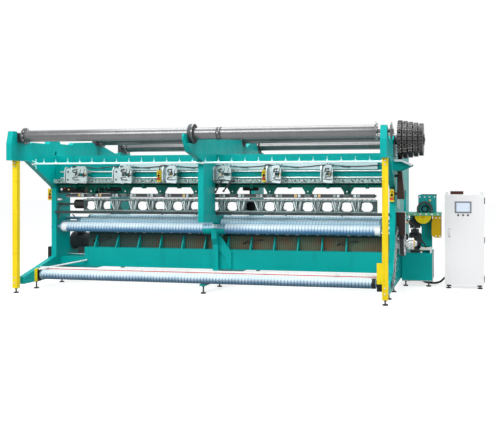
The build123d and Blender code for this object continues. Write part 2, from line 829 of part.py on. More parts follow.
# The main shaft lies behind the trough covers, with the pulley and clutch pushed on its end.
with BuildPart() as main_shaft:
    bar(pulley_x, main_shaft_y, main_shaft_z, main_pulley_radius)
    for face in (pulley_x[0], pulley_x[1] - pulley_dish):
        bar((face, face + pulley_dish), main_shaft_y, main_shaft_z, main_pulley_radius - 26,
            mode=Mode.SUBTRACT)
        bar((face, face + pulley_dish), main_shaft_y, main_shaft_z, main_shaft_radius + 24)
    clutch_x = pulley_x[1] + 17
    for start, end, radius in clutch_steps:
        bar((clutch_x + start, clutch_x + end), main_shaft_y, main_shaft_z, radius)
    shaft_end_x = clutch_x + clutch_steps[-1][1] + 10
    bar((pulley_x[0], shaft_end_x), main_shaft_y, main_shaft_z, main_shaft_radius + fit_gap,
        mode=Mode.SUBTRACT)
    bar((main_shaft_left_x, shaft_end_x), main_shaft_y, main_shaft_z, main_shaft_radius)
    with along_x(push_x):
        bar((-eccentric_width / 2, eccentric_width / 2), main_shaft_y,
            main_shaft_z - eccentric_throw, eccentric_radius)
keep(main_shaft, "main_shaft")

# Take-up rollers turn in the frames and are necked at the middle frame.
def take_up_roller(face, y, z, radius, right_end):
    bar((face[0], -middle_half - middle_break), y, z, radius)
    bar((middle_half + middle_break, face[1]), y, z, radius)
    bar((-frame_inner_x - frame_thickness, right_end), y, z, roll_journal_radius)


plain_end = frame_inner_x + frame_thickness
chain_end = chain_plane_x + chain_width + 10
with BuildPart() as lower_roller:
    take_up_roller(lower_roll_x, lower_roll_y, lower_roll_z, lower_roll_radius, chain_end)
    bar((chain_plane_x, chain_plane_x + chain_width), lower_roll_y, lower_roll_z,
        roll_sprocket_radius)
keep(lower_roller, "lower_roller")

with BuildPart() as middle_roller:
    take_up_roller(middle_roll_x, middle_roll_y, middle_roll_z, middle_roll_radius, plain_end)
keep(middle_roller, "middle_roller")

with BuildPart() as upper_roller:
    take_up_roller(upper_roll_x, upper_roll_y, upper_roll_z, upper_roll_radius, plain_end)
keep(upper_roller, "upper_roller")

# The cloth roll turns in the yellow holders and the right frame.
with BuildPart() as cloth_roll:
    bar(cloth_x, cloth_y, cloth_z, cloth_radius)
    bar((cloth_x[0] - 8, cloth_x[1] + 8), cloth_y, cloth_z, cloth_core_radius)
    bar((-frame_inner_x + 10, chain_end), cloth_y, cloth_z, cloth_journal_radius)
    bar((chain_plane_x, chain_plane_x + chain_width), cloth_y, cloth_z, roll_sprocket_radius)
keep(cloth_roll, "cloth_roll")

holder_x = ((-frame_inner_x, -frame_inner_x + 52), (frame_inner_x - 115, frame_inner_x))
with BuildPart() as roll_holders:
    for x in holder_x:
        block(x, (cloth_y - 80, cloth_y + 38), (frame_base_z + 6, cloth_z + 98))
        bar(x, cloth_y, cloth_z, cloth_journal_radius + fit_gap, mode=Mode.SUBTRACT)
    block(holder_x[1], (cloth_y - 80, cloth_y - 20), (cloth_z + 98, cloth_z + 300))
keep(roll_holders, "roll_holders")

# A chain ties the cloth roll to the lower take-up roller.
chain_dy = lower_roll_y - cloth_y
chain_dz = lower_roll_z - cloth_z
chain_length = hypot(chain_dy, chain_dz)
chain_angle = degrees(atan2(chain_dz, chain_dy))
chain_plane = Plane.YZ.offset(chain_plane_x)
with BuildPart() as roll_chain:
    with BuildSketch(chain_plane):
        with Locations(Location((cloth_y + chain_dy / 2, cloth_z + chain_dz / 2, 0),
                                (0, 0, chain_angle))):
            outer = roll_sprocket_radius + running_gap + chain_thickness
            inner = roll_sprocket_radius + running_gap
            SlotCenterToCenter(chain_length, 2 * outer)
            SlotCenterToCenter(chain_length, 2 * inner, mode=Mode.SUBTRACT)
    extrude(amount=chain_width)
keep(roll_chain, "roll_chain")

with BuildPart() as spreader_bar:
    box_beam((-frame_inner_x, frame_inner_x), spreader_y, spreader_z, 3)
keep(spreader_bar, "spreader_bar")

with BuildPart() as trough_covers:
    cover_y = (cover_panel_y, cover_panel_y + cover_panel_thickness)
    block((low_step_x, -middle_half - 2), cover_y, cover_panel_z)
    block((middle_half + 2, frame_inner_x), cover_y, cover_panel_z)
keep(trough_covers, "trough_covers")

# Inside the left frame: a handwheel on a stub shaft and the take-up motor.
with BuildPart() as handwheel:
    bar((-frame_inner_x - frame_thickness + 6, handwheel_x[1]), handwheel_y, handwheel_z,
        handwheel_shaft_radius)
    bar(handwheel_x, handwheel_y, handwheel_z, handwheel_radius)
    groove_width = (handwheel_x[1] - handwheel_x[0]) / 9
    with Locations(*[(handwheel_x[0] + (2 * k + 1.5) * groove_width, 0, 0) for k in range(4)]):
        with Locations(Location((0, handwheel_y, handwheel_z), (0, 90, 0))):
            Cylinder(handwheel_radius + 1, groove_width, mode=Mode.SUBTRACT)
    bar(handwheel_x, handwheel_y, handwheel_z, handwheel_radius - 12)
keep(handwheel, "handwheel")

with BuildPart() as take_up_motor:
    bar(take_up_motor_x, take_up_motor_y, take_up_motor_z, take_up_motor_radius)
    bar((take_up_motor_x[0] - 15, take_up_motor_x[0] + 20), take_up_motor_y, take_up_motor_z,
        take_up_motor_radius + 22)
    fin_count = 9
    with Locations(*[(take_up_motor_x[0] + 60 + 26 * k, 0, 0) for k in range(fin_count)]):
        bar((-5, 5), take_up_motor_y, take_up_motor_z, take_up_motor_radius + 10)
    block((take_up_motor_x[0] + 100, take_up_motor_x[1] - 60),
          (take_up_motor_y - 90, take_up_motor_y + 90),
          (low_step_z, take_up_motor_z))
keep(take_up_motor, "take_up_motor")

roll_drive_x = (-frame_inner_x - frame_thickness - 66, -frame_inner_x - frame_thickness)
with BuildPart() as roll_drive_box:
    block(roll_drive_x, (upright_front_y, upright_front_y + 170), (375, 622))
    fillet(roll_drive_box.edges().filter_by(Axis.X), 14)
keep(roll_drive_box, "roll_drive_box")

# Yellow push-button boxes: left post side, two on the head and one on the right frame.
left_box_x = (-frame_inner_x - frame_thickness - 78, -frame_inner_x - frame_thickness)
left_box_z = (1395, 1590)
left_box_y = (upright_front_y + 14, upright_front_y + 110)
head_box_y = (330, bolt_rail_y[0] - 9)
head_box_z = (1700, 1885)
right_box_x = (frame_inner_x + 12, frame_inner_x + 78)
right_box_y = (upright_front_y - 84, upright_front_y)
right_box_z = (1400, 1585)
well_depth = 9
button_reach = 12


def button_well(x, y, z):
    """Bore for a button in the front face at Y."""
    stud(x, (y, y + well_depth), z, button_radius + fit_gap + 0.05, mode=Mode.SUBTRACT)


button_places = {
    "left_stop_button": (sum(left_box_x) / 2, left_box_y[0], left_box_z[0] + 50),
    "head_left_button": (head_box_xs[0], head_box_y[0], head_box_z[0] + 50),
    "head_right_button": (head_box_xs[1], head_box_y[0], head_box_z[0] + 50),
    "right_stop_button": (sum(right_box_x) / 2, right_box_y[0], right_box_z[0] + 45),
}
with BuildPart() as button_boxes:
    block(left_box_x, left_box_y, left_box_z)
    with along_x(head_box_xs):
        block((-head_box_size / 2, head_box_size / 2), head_box_y, head_box_z)
    block(right_box_x, right_box_y, right_box_z)
    fillet(button_boxes.edges().filter_by(Axis.Z), 5)
    with along_x(head_box_xs):
        block((-20, 20), (head_box_y[1], bolt_rail_y[0]), (head_box_z[0], bolt_rail_z[1]))
    for place in button_places.values():
        button_well(*place)
keep(button_boxes, "button_boxes")


def push_button(x, y, z, head_radius):
    """Button stem in its well with a wider head outside."""
    stud(x, (y - button_travel - 1, y + well_depth - button_travel - 1), z, button_radius)
    stud(x, (y - button_travel - 1 - button_reach, y - button_travel - 1), z, head_radius)


for name, place in button_places.items():
    with BuildPart() as button:
        push_button(*place, button_radius + 5)
    keep(button, name)

# The head cable lies over a clip on every bracket and sags between them.
cable_radius = 8
cable_y = 441
cable_clip_z = bracket_z[1] + cable_radius + 2
cable_start_x = bracket_x[0] + 20
cable_end_x = frame_inner_x
cable_route = [
    (cable_start_x, cable_clip_z),
    (-2386, cable_clip_z + 0.5),
    (-2230, 1937),
    (-2020, 1921),
    (-1810, 1936),
    (-1655, cable_clip_z),
    (-1535, cable_clip_z + 0.5),
    (-1360, 1934),
    (-1170, 1927),
    (-970, 1941),
    (-804, cable_clip_z),
    (-684, cable_clip_z + 0.5),
    (-520, 1939),
    (-320, 1924),
    (-120, 1936),
    (47, cable_clip_z),
    (167, cable_clip_z + 0.5),
    (330, 1940),
    (530, 1929),
    (730, 1938),
    (898, cable_clip_z),
    (1018, cable_clip_z + 0.5),
    (1180, 1938),
    (1380, 1922),
    (1580, 1937),
    (1749, cable_clip_z),
    (1869, cable_clip_z + 0.5),
    (2030, 1941),
    (2220, 1930),
    (2420, 1936),
    (2600, 1950),
    (cable_end_x, 1951),
]


def bend_radii(points):
    """Largest tangent arc at each corner that its two runs allow."""
    radii = []
    for before, here, after in zip(points, points[1:], points[2:]):
        run_in = here - before
        run_out = after - here
        turn = radians(run_in.get_angle(run_out))
        shorter = min(run_in.length, run_out.length)
        radii.append(0.45 * shorter / (sin(turn / 2) / cos(turn / 2)))
    return radii


cable_points = [Vector(x, cable_y, z) for x, z in cable_route]
cable_radii = bend_radii(cable_points)
print("head cable radii", [round(radius) for radius in cable_radii])
with BuildPart() as head_cable:
    with BuildLine() as cable_line:
        FilletPolyline(*cable_points, radius=cable_radii)
    with BuildSketch(Plane(cable_points[0], z_dir=cable_points[1] - cable_points[0])):
        Circle(cable_radius)
    sweep()
print("head cable length", round(cable_line.wire().length))
print("head cable volume ratio",
      round(head_cable.part.volume / (pi * cable_radius ** 2 * cable_line.wire().length), 4))
keep(head_cable, "head_cable")

# Pattern drum with its stepped chain tracks on the right frame.
drum_x = [drum_first_x + index * drum_pitch for index in range(drum_count)]
drum_radii = [drum_radius - index * drum_step for index in range(drum_count)]
drum_end_x = drum_x[-1] + drum_track
with BuildPart() as pattern_drum:
    bar((frame_inner_x - 8, drum_end_x + 24), drum_y, drum_z, drum_shaft_radius)
    for x, radius in zip(drum_x, drum_radii):
        bar((x, min(x + drum_pitch, drum_end_x)), drum_y, drum_z, radius)
    bar((plain_end + 8, drum_x[0]), drum_y, drum_z, 70)
    bar((drum_end_x, drum_end_x + 16), drum_y, drum_z, 80)
keep(pattern_drum, "pattern_drum")

with BuildPart() as pattern_chains:
    for x, radius in zip(drum_x, drum_radii):
        outer_radius = radius + chain_depth
        with BuildSketch(Plane.YZ.offset(x)) as track:
            with Locations((drum_y, drum_z)):
                Circle(outer_radius - 28)
                with PolarLocations(outer_radius - 26, chain_links):
                    Rectangle(52, 40)
                Circle(radius + running_gap, mode=Mode.SUBTRACT)
        extrude(track.sketch, amount=drum_track)
keep(pattern_chains, "pattern_chains")

# A gusseted bracket under the drum carries the sloping chain tray.
tray_high = (2975, 2024)
tray_low = (3130, 1950)
tray_y = (230, 700)
gusset_thickness = 12
with BuildPart() as pattern_bracket:
    with BuildSketch(Plane.XZ.offset(-tray_y[0] - 80), Plane.XZ.offset(-tray_y[1] + 40)) as ribs:
        Polygon(
            (plain_end, 1864),
            (plain_end + 92, 1864),
            (tray_low[0] - 10, tray_low[1] - 16),
            (tray_low[0] - 10, tray_low[1] - 3),
            (tray_high[0], tray_high[1] - 6),
            (plain_end, tray_high[1] - 6),
            align=None,
        )
    extrude(ribs.sketch, amount=-gusset_thickness)
    block((plain_end, plain_end + 10), tray_y, (1864, tray_high[1] - 6))
    with BuildSketch(Plane.XZ.offset(-tray_y[0])) as tray:
        Polygon(
            (plain_end, tray_high[1] - 6),
            (tray_high[0], tray_high[1] - 6),
            tray_low,
            (tray_low[0], tray_low[1] + 5),
            (tray_high[0], tray_high[1]),
            (plain_end, tray_high[1]),
            align=None,
        )
    extrude(tray.sketch, amount=-(tray_y[1] - tray_y[0]))
keep(pattern_bracket, "pattern_bracket")

# Dark sheet guards on the right frame: the chain case and the pulley guard.
case_z = (1440, 1858)
case_y = (370, 530)
guard_y = (690, 740)
guard_z = (872, 1240)
guard_reach = 142
duct_depth, duct_y, duct_z = 30, (880, 920), (1280, 1920)
with BuildPart() as side_guards:
    with BuildSketch(Plane.XZ.offset(-case_y[0])) as case:
        Polygon(
            (plain_end + 42, case_z[0]),
            (plain_end + 152, case_z[0]),
            (plain_end + 110, case_z[1]),
            (plain_end + 46, case_z[1]),
            align=None,
        )
    extrude(case.sketch, amount=-(case_y[1] - case_y[0]))
    for z in (case_z[0] + 60, case_z[1] - 90):
        block((plain_end, plain_end + 57), (sum(case_y) / 2 - 30, sum(case_y) / 2 + 30),
              (z, z + 40))
    guard_end_x = plain_end + guard_reach
    block((plain_end, guard_end_x), (guard_y[0], guard_y[0] + guard_sheet), guard_z)
    block((plain_end, guard_end_x), guard_y, (guard_z[1] - guard_sheet, guard_z[1]))
    block((guard_end_x - guard_sheet, guard_end_x), guard_y, guard_z)
    block((plain_end, plain_end + duct_depth), duct_y, duct_z)
keep(side_guards, "side_guards")

# Main drive: base, table, gearbox, motor and belt.
with BuildPart() as drive_base:
    box_beam(drive_base_x, drive_base_y, drive_base_z, 8)
    block(drive_base_x, (drive_base_y[0], drive_base_y[0] + 8), drive_base_z)
    block((drive_base_x[0], drive_base_x[0] + 8), drive_base_y, drive_base_z)
    block((drive_base_x[1] - 8, drive_base_x[1]), drive_base_y, drive_base_z)
    block((plain_end, drive_base_x[0]), (drive_base_y[0] + 20, drive_base_y[0] + 520),
          (drive_base_z[0] + 40, drive_base_z[1] - 60))
keep(drive_base, "drive_base")

with BuildPart() as drive_table:
    block(drive_table_x, drive_table_y, drive_table_z)
    block(drive_column_x, drive_column_y, (drive_base_z[1], drive_table_z[0]))
    with BuildSketch(Plane.XZ.offset(-drive_column_y[0] + gusset_thickness)) as gusset:
        Polygon(
            (drive_column_x[0] - 130, drive_table_z[0]),
            (drive_column_x[1], drive_table_z[0]),
            (drive_column_x[1], 960),
            (drive_column_x[0], 960),
            align=None,
        )
    extrude(gusset.sketch, amount=-gusset_thickness)
keep(drive_table, "drive_table")

with BuildPart() as gearbox:
    block(gearbox_x, gearbox_y, (drive_table_z[1], gearbox_top_z))
    fillet(gearbox.edges().filter_by(Axis.Z), 14)
    block((gearbox_x[0] + 14, gearbox_x[1] - 14), (gearbox_y[0] + 14, gearbox_y[1] - 14),
          (drive_table_z[1], gearbox_top_z - 14), mode=Mode.SUBTRACT)
    block((gearbox_x[0] + 40, gearbox_x[1] + 8), (gearbox_y[0] + 20, gearbox_y[1] - 20),
          (gearbox_top_z, gearbox_top_z + 10))
    block(reducer_x, reducer_y, (reducer_bottom_z, drive_table_z[0]))
    bar((reducer_x[0] - 16, reducer_x[0]), sum(reducer_y) / 2, reducer_bottom_z + 90, 42)
keep(gearbox, "gearbox")

# Guards: the grey arch on the table, the yellow half disc and the yellow belt guard.
with BuildPart() as drive_guards:
    with BuildSketch(Plane.XZ.offset(-arch_y[0])) as arch:
        with Locations((arch_x, drive_table_z[1] + 60)):
            Circle(arch_radius)
        with Locations((arch_x, drive_table_z[1] + 30)):
            Rectangle(2 * arch_radius, 60)
        with Locations((arch_x, drive_table_z[1] + 60)):
            Circle(arch_radius - arch_wall, mode=Mode.SUBTRACT)
        with Locations((arch_x, drive_table_z[1] - 40)):
            Rectangle(2 * (arch_radius - arch_wall), 200, mode=Mode.SUBTRACT)
        with Locations((arch_x, drive_table_z[1] - 100)):
            Rectangle(2 * arch_radius + 20, 200, mode=Mode.SUBTRACT)
    extrude(arch.sketch, amount=-(arch_y[1] - arch_y[0]))
    with BuildSketch(Plane.XZ.offset(-arch_y[0] + 12)) as half_disc:
        with Locations((half_guard_x, drive_table_z[0])):
            Circle(half_guard_radius)
            with Locations((0, half_guard_radius)):
                Rectangle(2 * half_guard_radius + 2, 2 * half_guard_radius, mode=Mode.SUBTRACT)
    extrude(half_disc.sketch, amount=-60)
    with BuildSketch(Plane.XZ.offset(-belt_guard_y[0])) as guard:
        Polygon(
            (belt_guard_x[0], belt_guard_z[0] + 40),
            (belt_guard_x[0] + 50, belt_guard_z[0]),
            (belt_guard_x[1], belt_guard_z[0]),
            (belt_guard_x[1], drive_table_z[0]),
            (belt_guard_x[0] + 20, drive_table_z[0]),
            (belt_guard_x[0], belt_guard_z[1] - 120),
            align=None,
        )
    extrude(guard.sketch, amount=-(belt_guard_y[1] - belt_guard_y[0]))
    with BuildSketch(Plane.XZ.offset(-belt_guard_y[0] - guard_sheet)) as guard_inside:
        with Locations(((belt_guard_x[0] + belt_guard_x[1]) / 2,
                        (belt_guard_z[0] + drive_table_z[0]) / 2)):
            Rectangle(belt_guard_x[1] - belt_guard_x[0] - 2 * guard_corner,
                      drive_table_z[0] - belt_guard_z[0] - 2 * guard_sheet)
    extrude(guard_inside.sketch, mode=Mode.SUBTRACT,
            amount=-(belt_guard_y[1] - belt_guard_y[0] - 2 * guard_sheet))
keep(drive_guards, "drive_guards")

with BuildPart() as main_motor:
    bar(motor_x, motor_y, motor_z, motor_radius)
    with Locations(*[(motor_x[0] + 26 + 22 * k, 0, 0) for k in range(7)]):
        bar((-4, 4), motor_y, motor_z, motor_radius + 9)
    block((motor_x[0] + 20, motor_x[1] - 20), (motor_y - 80, motor_y + 80),
          (drive_base_z[1], motor_z))
    block((motor_x[0] + 30, motor_x[1] - 30), (motor_y - 60, motor_y + 40),
          (motor_z, motor_z + motor_radius + 60))
    bar((motor_x[0], motor_x[0] + motor_bore_depth), motor_y, motor_z,
        motor_shaft_radius + fit_gap, mode=Mode.SUBTRACT)
keep(main_motor, "main_motor")

with BuildPart() as motor_pulley:
    bar((pulley_x[0] - 6, motor_x[0] + motor_bore_depth - 2), motor_y, motor_z,
        motor_shaft_radius)
    bar(pulley_x, motor_y, motor_z, motor_pulley_radius)
keep(motor_pulley, "motor_pulley")

# The flat belt runs round both pulleys along their common tangents.
belt_span = hypot(motor_y - main_shaft_y, motor_z - main_shaft_z)
belt_tilt = atan2(motor_z - main_shaft_z, motor_y - main_shaft_y)
belt_lift = acos((main_pulley_radius - motor_pulley_radius) / belt_span)


def belt_loop(extra):
    """Closed outline round both pulleys, larger than them by extra."""
    big = main_pulley_radius + extra
    small = motor_pulley_radius + extra
    up = belt_tilt + belt_lift
    down = belt_tilt - belt_lift
    big_up = (main_shaft_y + big * cos(up), main_shaft_z + big * sin(up))
    big_down = (main_shaft_y + big * cos(down), main_shaft_z + big * sin(down))
    small_up = (motor_y + small * cos(up), motor_z + small * sin(up))
    small_down = (motor_y + small * cos(down), motor_z + small * sin(down))
    big_back = (main_shaft_y - big * cos(belt_tilt), main_shaft_z - big * sin(belt_tilt))
    small_front = (motor_y + small * cos(belt_tilt), motor_z + small * sin(belt_tilt))
    Line(big_up, small_up)
    ThreePointArc(small_up, small_front, small_down)
    Line(small_down, big_down)
    ThreePointArc(big_down, big_back, big_up)


with BuildPart() as drive_belt:
    with BuildSketch(Plane.YZ.offset(pulley_x[0] + 6)) as loop:
        with BuildLine() as outside:
            belt_loop(running_gap + belt_thickness)
        make_face(outside.edges())
        with BuildLine() as inside:
            belt_loop(running_gap)
        make_face(inside.edges(), mode=Mode.SUBTRACT)
    extrude(amount=pulley_x[1] - pulley_x[0] - 12)
keep(drive_belt, "drive_belt")

cylinder_y, cylinder_z, cylinder_radius = 1545, 610, 34
cylinder_x = (3182, 3356)
with BuildPart() as air_cylinder:
    bar(cylinder_x, cylinder_y, cylinder_z, cylinder_radius)
    for x in (cylinder_x[0], cylinder_x[1] - 24):
        block((x, x + 24), (cylinder_y - 38, cylinder_y + 38),
              (drive_base_z[1], cylinder_z + 38))
keep(air_cylinder, "air_cylinder")

# Control cabinet: folded shell, door, screen, buttons, handle and roof housing.
shell_front_y = cabinet_y[0] + door_thickness + door_gap
with BuildPart() as cabinet_shell:
    block(cabinet_x, (shell_front_y, cabinet_y[1]), cabinet_z)
    block(
        (cabinet_x[0] + cabinet_sheet, cabinet_x[1] - cabinet_sheet),
        (shell_front_y, cabinet_y[1] - cabinet_sheet),
        (cabinet_z[0] + cabinet_sheet, cabinet_z[1] - cabinet_sheet),
        mode=Mode.SUBTRACT,
    )
    for x in (cabinet_x[0], cabinet_x[1] - 22):
        block((x, x + 22), (shell_front_y, shell_front_y + cabinet_sheet), cabinet_z)
    for z in (cabinet_z[0], cabinet_z[1] - 22):
        block(cabinet_x, (shell_front_y, shell_front_y + cabinet_sheet), (z, z + 22))
    hinge_x, hinge_y, hinge_radius = cabinet_x[1] + 8, cabinet_y[0] + 8, 7
    hinge_zs = (cabinet_z[0] + 95, cabinet_z[1] - 150)
    for z in hinge_zs:
        pillar(hinge_x, hinge_y, (z, z + 50), hinge_radius)
        pillar(hinge_x, hinge_y, (z + 50, z + 96), hinge_radius / 2)
        block((cabinet_x[1], hinge_x + 3), (hinge_y, shell_front_y + 30), (z, z + 50))
    block(roof_housing_x, roof_housing_y, (cabinet_z[1], cabinet_z[1] + roof_housing_height))
keep(cabinet_shell, "cabinet_shell")

handle_x, handle_z = cabinet_x[0] + 70, (835, 945)
handle_pivot_z = handle_z[1] - 16
with BuildPart() as cabinet_door:
    block((cabinet_x[0], cabinet_x[1] - 2), (cabinet_y[0], cabinet_y[0] + door_thickness),
          cabinet_z)
    block(
        (cabinet_x[0] + cabinet_sheet, cabinet_x[1] - 2 - cabinet_sheet),
        (cabinet_y[0] + cabinet_sheet, cabinet_y[0] + door_thickness),
        (cabinet_z[0] + cabinet_sheet, cabinet_z[1] - cabinet_sheet),
        mode=Mode.SUBTRACT,
    )
    door_front = (cabinet_y[0], cabinet_y[0] + 14)
    for x in cabinet_button_xs:
        stud(x, door_front, cabinet_button_z, button_radius + 8)
        stud(x, door_front, cabinet_button_z, button_radius + fit_gap + 0.05, mode=Mode.SUBTRACT)
    stud(handle_x, door_front, handle_pivot_z, 20)
    stud(handle_x, door_front, handle_pivot_z, 8 + fit_gap, mode=Mode.SUBTRACT)
    block(screen_x, (cabinet_y[0], cabinet_y[0] + door_thickness), screen_z,
          mode=Mode.SUBTRACT)
    for z in hinge_zs:
        pillar(hinge_x, hinge_y, (z + 51, z + 96), hinge_radius)
        block((cabinet_x[1] - 4, hinge_x), (hinge_y - 5, hinge_y + 5), (z + 51, z + 96))
        pillar(hinge_x, hinge_y, (z + 51, z + 97), hinge_radius / 2 + fit_gap,
               mode=Mode.SUBTRACT)
keep(cabinet_door, "cabinet_door")

screen_lip = 9
with BuildPart() as touch_screen:
    block(
        (screen_x[0] - screen_lip, screen_x[1] + screen_lip),
        (cabinet_y[0] - 6, cabinet_y[0]),
        (screen_z[0] - screen_lip, screen_z[1] + screen_lip),
    )
    block(
        (screen_x[0] + running_gap, screen_x[1] - running_gap),
        (cabinet_y[0], cabinet_y[0] + 18),
        (screen_z[0] + running_gap, screen_z[1] - running_gap),
    )
keep(touch_screen, "touch_screen")

cabinet_button_names = ("cabinet_left_button", "cabinet_middle_button", "cabinet_right_button")
for x, name in zip(cabinet_button_xs, cabinet_button_names):
    with BuildPart() as button:
        stud(x, (cabinet_y[0] - 14, cabinet_y[0] + 10 - button_travel), cabinet_button_z,
             button_radius)
    keep(button, name)

with BuildPart() as lock_handle:
    block((handle_x - 13, handle_x + 13), (cabinet_y[0] - 16, cabinet_y[0] - running_gap),
          handle_z)
    fillet(lock_handle.edges().filter_by(Axis.Y), 8)
    stud(handle_x, (cabinet_y[0] - running_gap, cabinet_y[0] + 16), handle_pivot_z, 8)
keep(lock_handle, "lock_handle")
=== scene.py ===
# %% [markdown]
# # Dressing a warp knitting machine
#
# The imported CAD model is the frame: every number here is in metres in its frame.
# X runs along the machine, the working side faces -Y and the floor is Z = 0.
# The cells go from the frame and the camera, over paints, to the dressed pieces.

# %% Load the frame
import math

import bmesh
import bpy
from mathutils import Matrix, Vector


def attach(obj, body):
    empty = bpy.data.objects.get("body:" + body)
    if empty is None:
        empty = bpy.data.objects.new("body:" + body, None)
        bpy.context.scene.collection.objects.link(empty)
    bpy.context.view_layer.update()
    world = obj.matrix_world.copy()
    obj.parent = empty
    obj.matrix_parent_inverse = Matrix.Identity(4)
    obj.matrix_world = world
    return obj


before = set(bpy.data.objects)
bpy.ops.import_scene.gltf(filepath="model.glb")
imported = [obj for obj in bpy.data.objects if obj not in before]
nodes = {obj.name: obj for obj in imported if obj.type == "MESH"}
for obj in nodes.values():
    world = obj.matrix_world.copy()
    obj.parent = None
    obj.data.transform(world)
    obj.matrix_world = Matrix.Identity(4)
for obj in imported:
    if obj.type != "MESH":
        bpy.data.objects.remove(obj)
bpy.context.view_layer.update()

scene = bpy.context.scene

# %% [markdown]
# ## Camera, light and floor
#
# The camera is the one solved from the photograph: level, turned 12.4 degrees to the
# left, with its horizon at the photograph's row 185.

# %% Camera
PHOTO_WIDTH, PHOTO_HEIGHT = 495, 433
FOCAL_PX = 751.3
PRINCIPAL = (300, 185)
CAMERA_AT = (3.886, -10.844, 1.65)
CAMERA_TURN = 12.387

camera_data = bpy.data.cameras.new("camera")
camera_data.sensor_width = 36
camera_data.lens = FOCAL_PX * 36 / PHOTO_WIDTH
camera_data.shift_x = -(PRINCIPAL[0] - PHOTO_WIDTH / 2) / PHOTO_WIDTH
camera_data.shift_y = -(PHOTO_HEIGHT / 2 - PRINCIPAL[1]) / PHOTO_WIDTH
camera_data.clip_end = 200
camera = bpy.data.objects.new("camera", camera_data)
camera.location = CAMERA_AT
camera.rotation_euler = (math.radians(90), 0, math.radians(CAMERA_TURN))
scene.collection.objects.link(camera)
scene.camera = camera

# %% [markdown]
# ## Node helpers
#
# Shaders and geometry trees are graphs of nodes. These helpers add a node, feed its
# inputs with sockets or plain values, and do arithmetic on sockets. A socket knows the
# graph that it belongs to, so most of them need not be told.


# %% Node helpers
def feed(node, inputs):
    """Link sockets to a node's inputs, or set them to plain values."""
    for name, value in inputs.items():
        if isinstance(value, bpy.types.NodeSocket):
            node.id_data.links.new(value, node.inputs[name])
        else:
            node.inputs[name].default_value = value


def add(tree, kind, inputs=None, **settings):
    """New node with its settings and inputs."""
    node = tree.nodes.new(kind)
    for name, value in settings.items():
        setattr(node, name, value)
    feed(node, inputs or {})
    return node


def graph_of(*values):
    """The node graph that the sockets among the values belong to."""
    return next(value.id_data for value in values if isinstance(value, bpy.types.NodeSocket))


def sums(operation, *values):
    """Math node on sockets or numbers."""
    return add(graph_of(*values), "ShaderNodeMath", dict(enumerate(values)), operation=operation).outputs[0]


def axes(vector):
    """The X, Y and Z of a vector."""
    return add(vector.id_data, "ShaderNodeSeparateXYZ", {0: vector}).outputs


def together(*values):
    """Vector from up to three values."""
    return add(graph_of(*values), "ShaderNodeCombineXYZ", dict(enumerate(values))).outputs[0]


def stretched(place, scale):
    """Coordinates stretched by three factors."""
    return add(place.id_data, "ShaderNodeMapping", {"Vector": place, "Scale": scale}).outputs[0]


def noise(vector, scale, detail=3.0, rough=0.5):
    """Noise value from a vector."""
    return add(vector.id_data, "ShaderNodeTexNoise", {
        "Vector": vector, "Scale": scale, "Detail": detail, "Roughness": rough}).outputs[0]


def between(value, low, high, to_low=0.0, to_high=1.0):
    """Value from low to high mapped onto another range."""
    return add(value.id_data, "ShaderNodeMapRange", {
        "Value": value, "From Min": low, "From Max": high, "To Min": to_low,
        "To Max": to_high}).outputs[0]


# %% [markdown]
# ## Studio
#
# The machine stands in a plain white studio. White is shown to the camera and to shiny
# surfaces only, so the paint is lit by three soft panels and a modest sky instead.

# %% Sky and panels
SKY_COLOUR, SKY_STRENGTH = (0.94, 0.97, 1, 1), 0.6
WHITE = (1, 1, 1, 1)
scene.view_settings.view_transform = "Standard"


def shown_rays(tree):
    """1 for rays that show the backdrop: seen directly, mirrored or through glass."""
    rays = add(tree, "ShaderNodeLightPath").outputs
    seen = sums("MAXIMUM", rays["Is Camera Ray"], rays["Is Glossy Ray"])
    return sums("MAXIMUM", seen, rays["Is Transmission Ray"])


def two_looks(tree, lighting, shown, output):
    """One shader for lighting and another for what is shown, sent to the output."""
    choose = add(tree, "ShaderNodeMixShader", {
        0: shown_rays(tree), 1: lighting.outputs[0], 2: shown.outputs[0]})
    add(tree, output, {0: choose.outputs[0]})


def empty_tree(owner):
    """The emptied node tree of a world or material."""
    owner.use_nodes = True
    owner.node_tree.nodes.clear()
    return owner.node_tree


scene.world = bpy.data.worlds.new("studio")
tree = empty_tree(scene.world)
two_looks(tree, add(tree, "ShaderNodeBackground", {"Color": SKY_COLOUR, "Strength": SKY_STRENGTH}),
    add(tree, "ShaderNodeBackground", {"Color": WHITE}), "ShaderNodeOutputWorld")


def area_light(name, place, target, size, power):
    """Soft panel light at a place, aimed at a target."""
    data = bpy.data.lights.new(name, "AREA")
    data.shape = "RECTANGLE"
    data.size, data.size_y = size
    data.energy = power
    lamp = bpy.data.objects.new(name, data)
    lamp.location = place
    aim = Vector(target) - Vector(place)
    lamp.rotation_euler = aim.to_track_quat("-Z", "Y").to_euler()
    scene.collection.objects.link(lamp)


area_light("key", (-2.5, -8.5, 7.0), (0, 0.5, 1.2), (7, 4), 900)
area_light("top", (0.5, 1.0, 7.5), (0.5, 1.0, 0), (9, 5), 640)
area_light("right", (8.5, -6.0, 3.5), (2.5, 0.5, 1.0), (4, 3), 260)

# %% [markdown]
# The floor glows softly for the camera, so it stays near white far away and the
# machine's own shadow still darkens it. For lighting it is a darker floor, which
# leaves the undersides of tubes and rolls as dark as they are on a workshop floor.

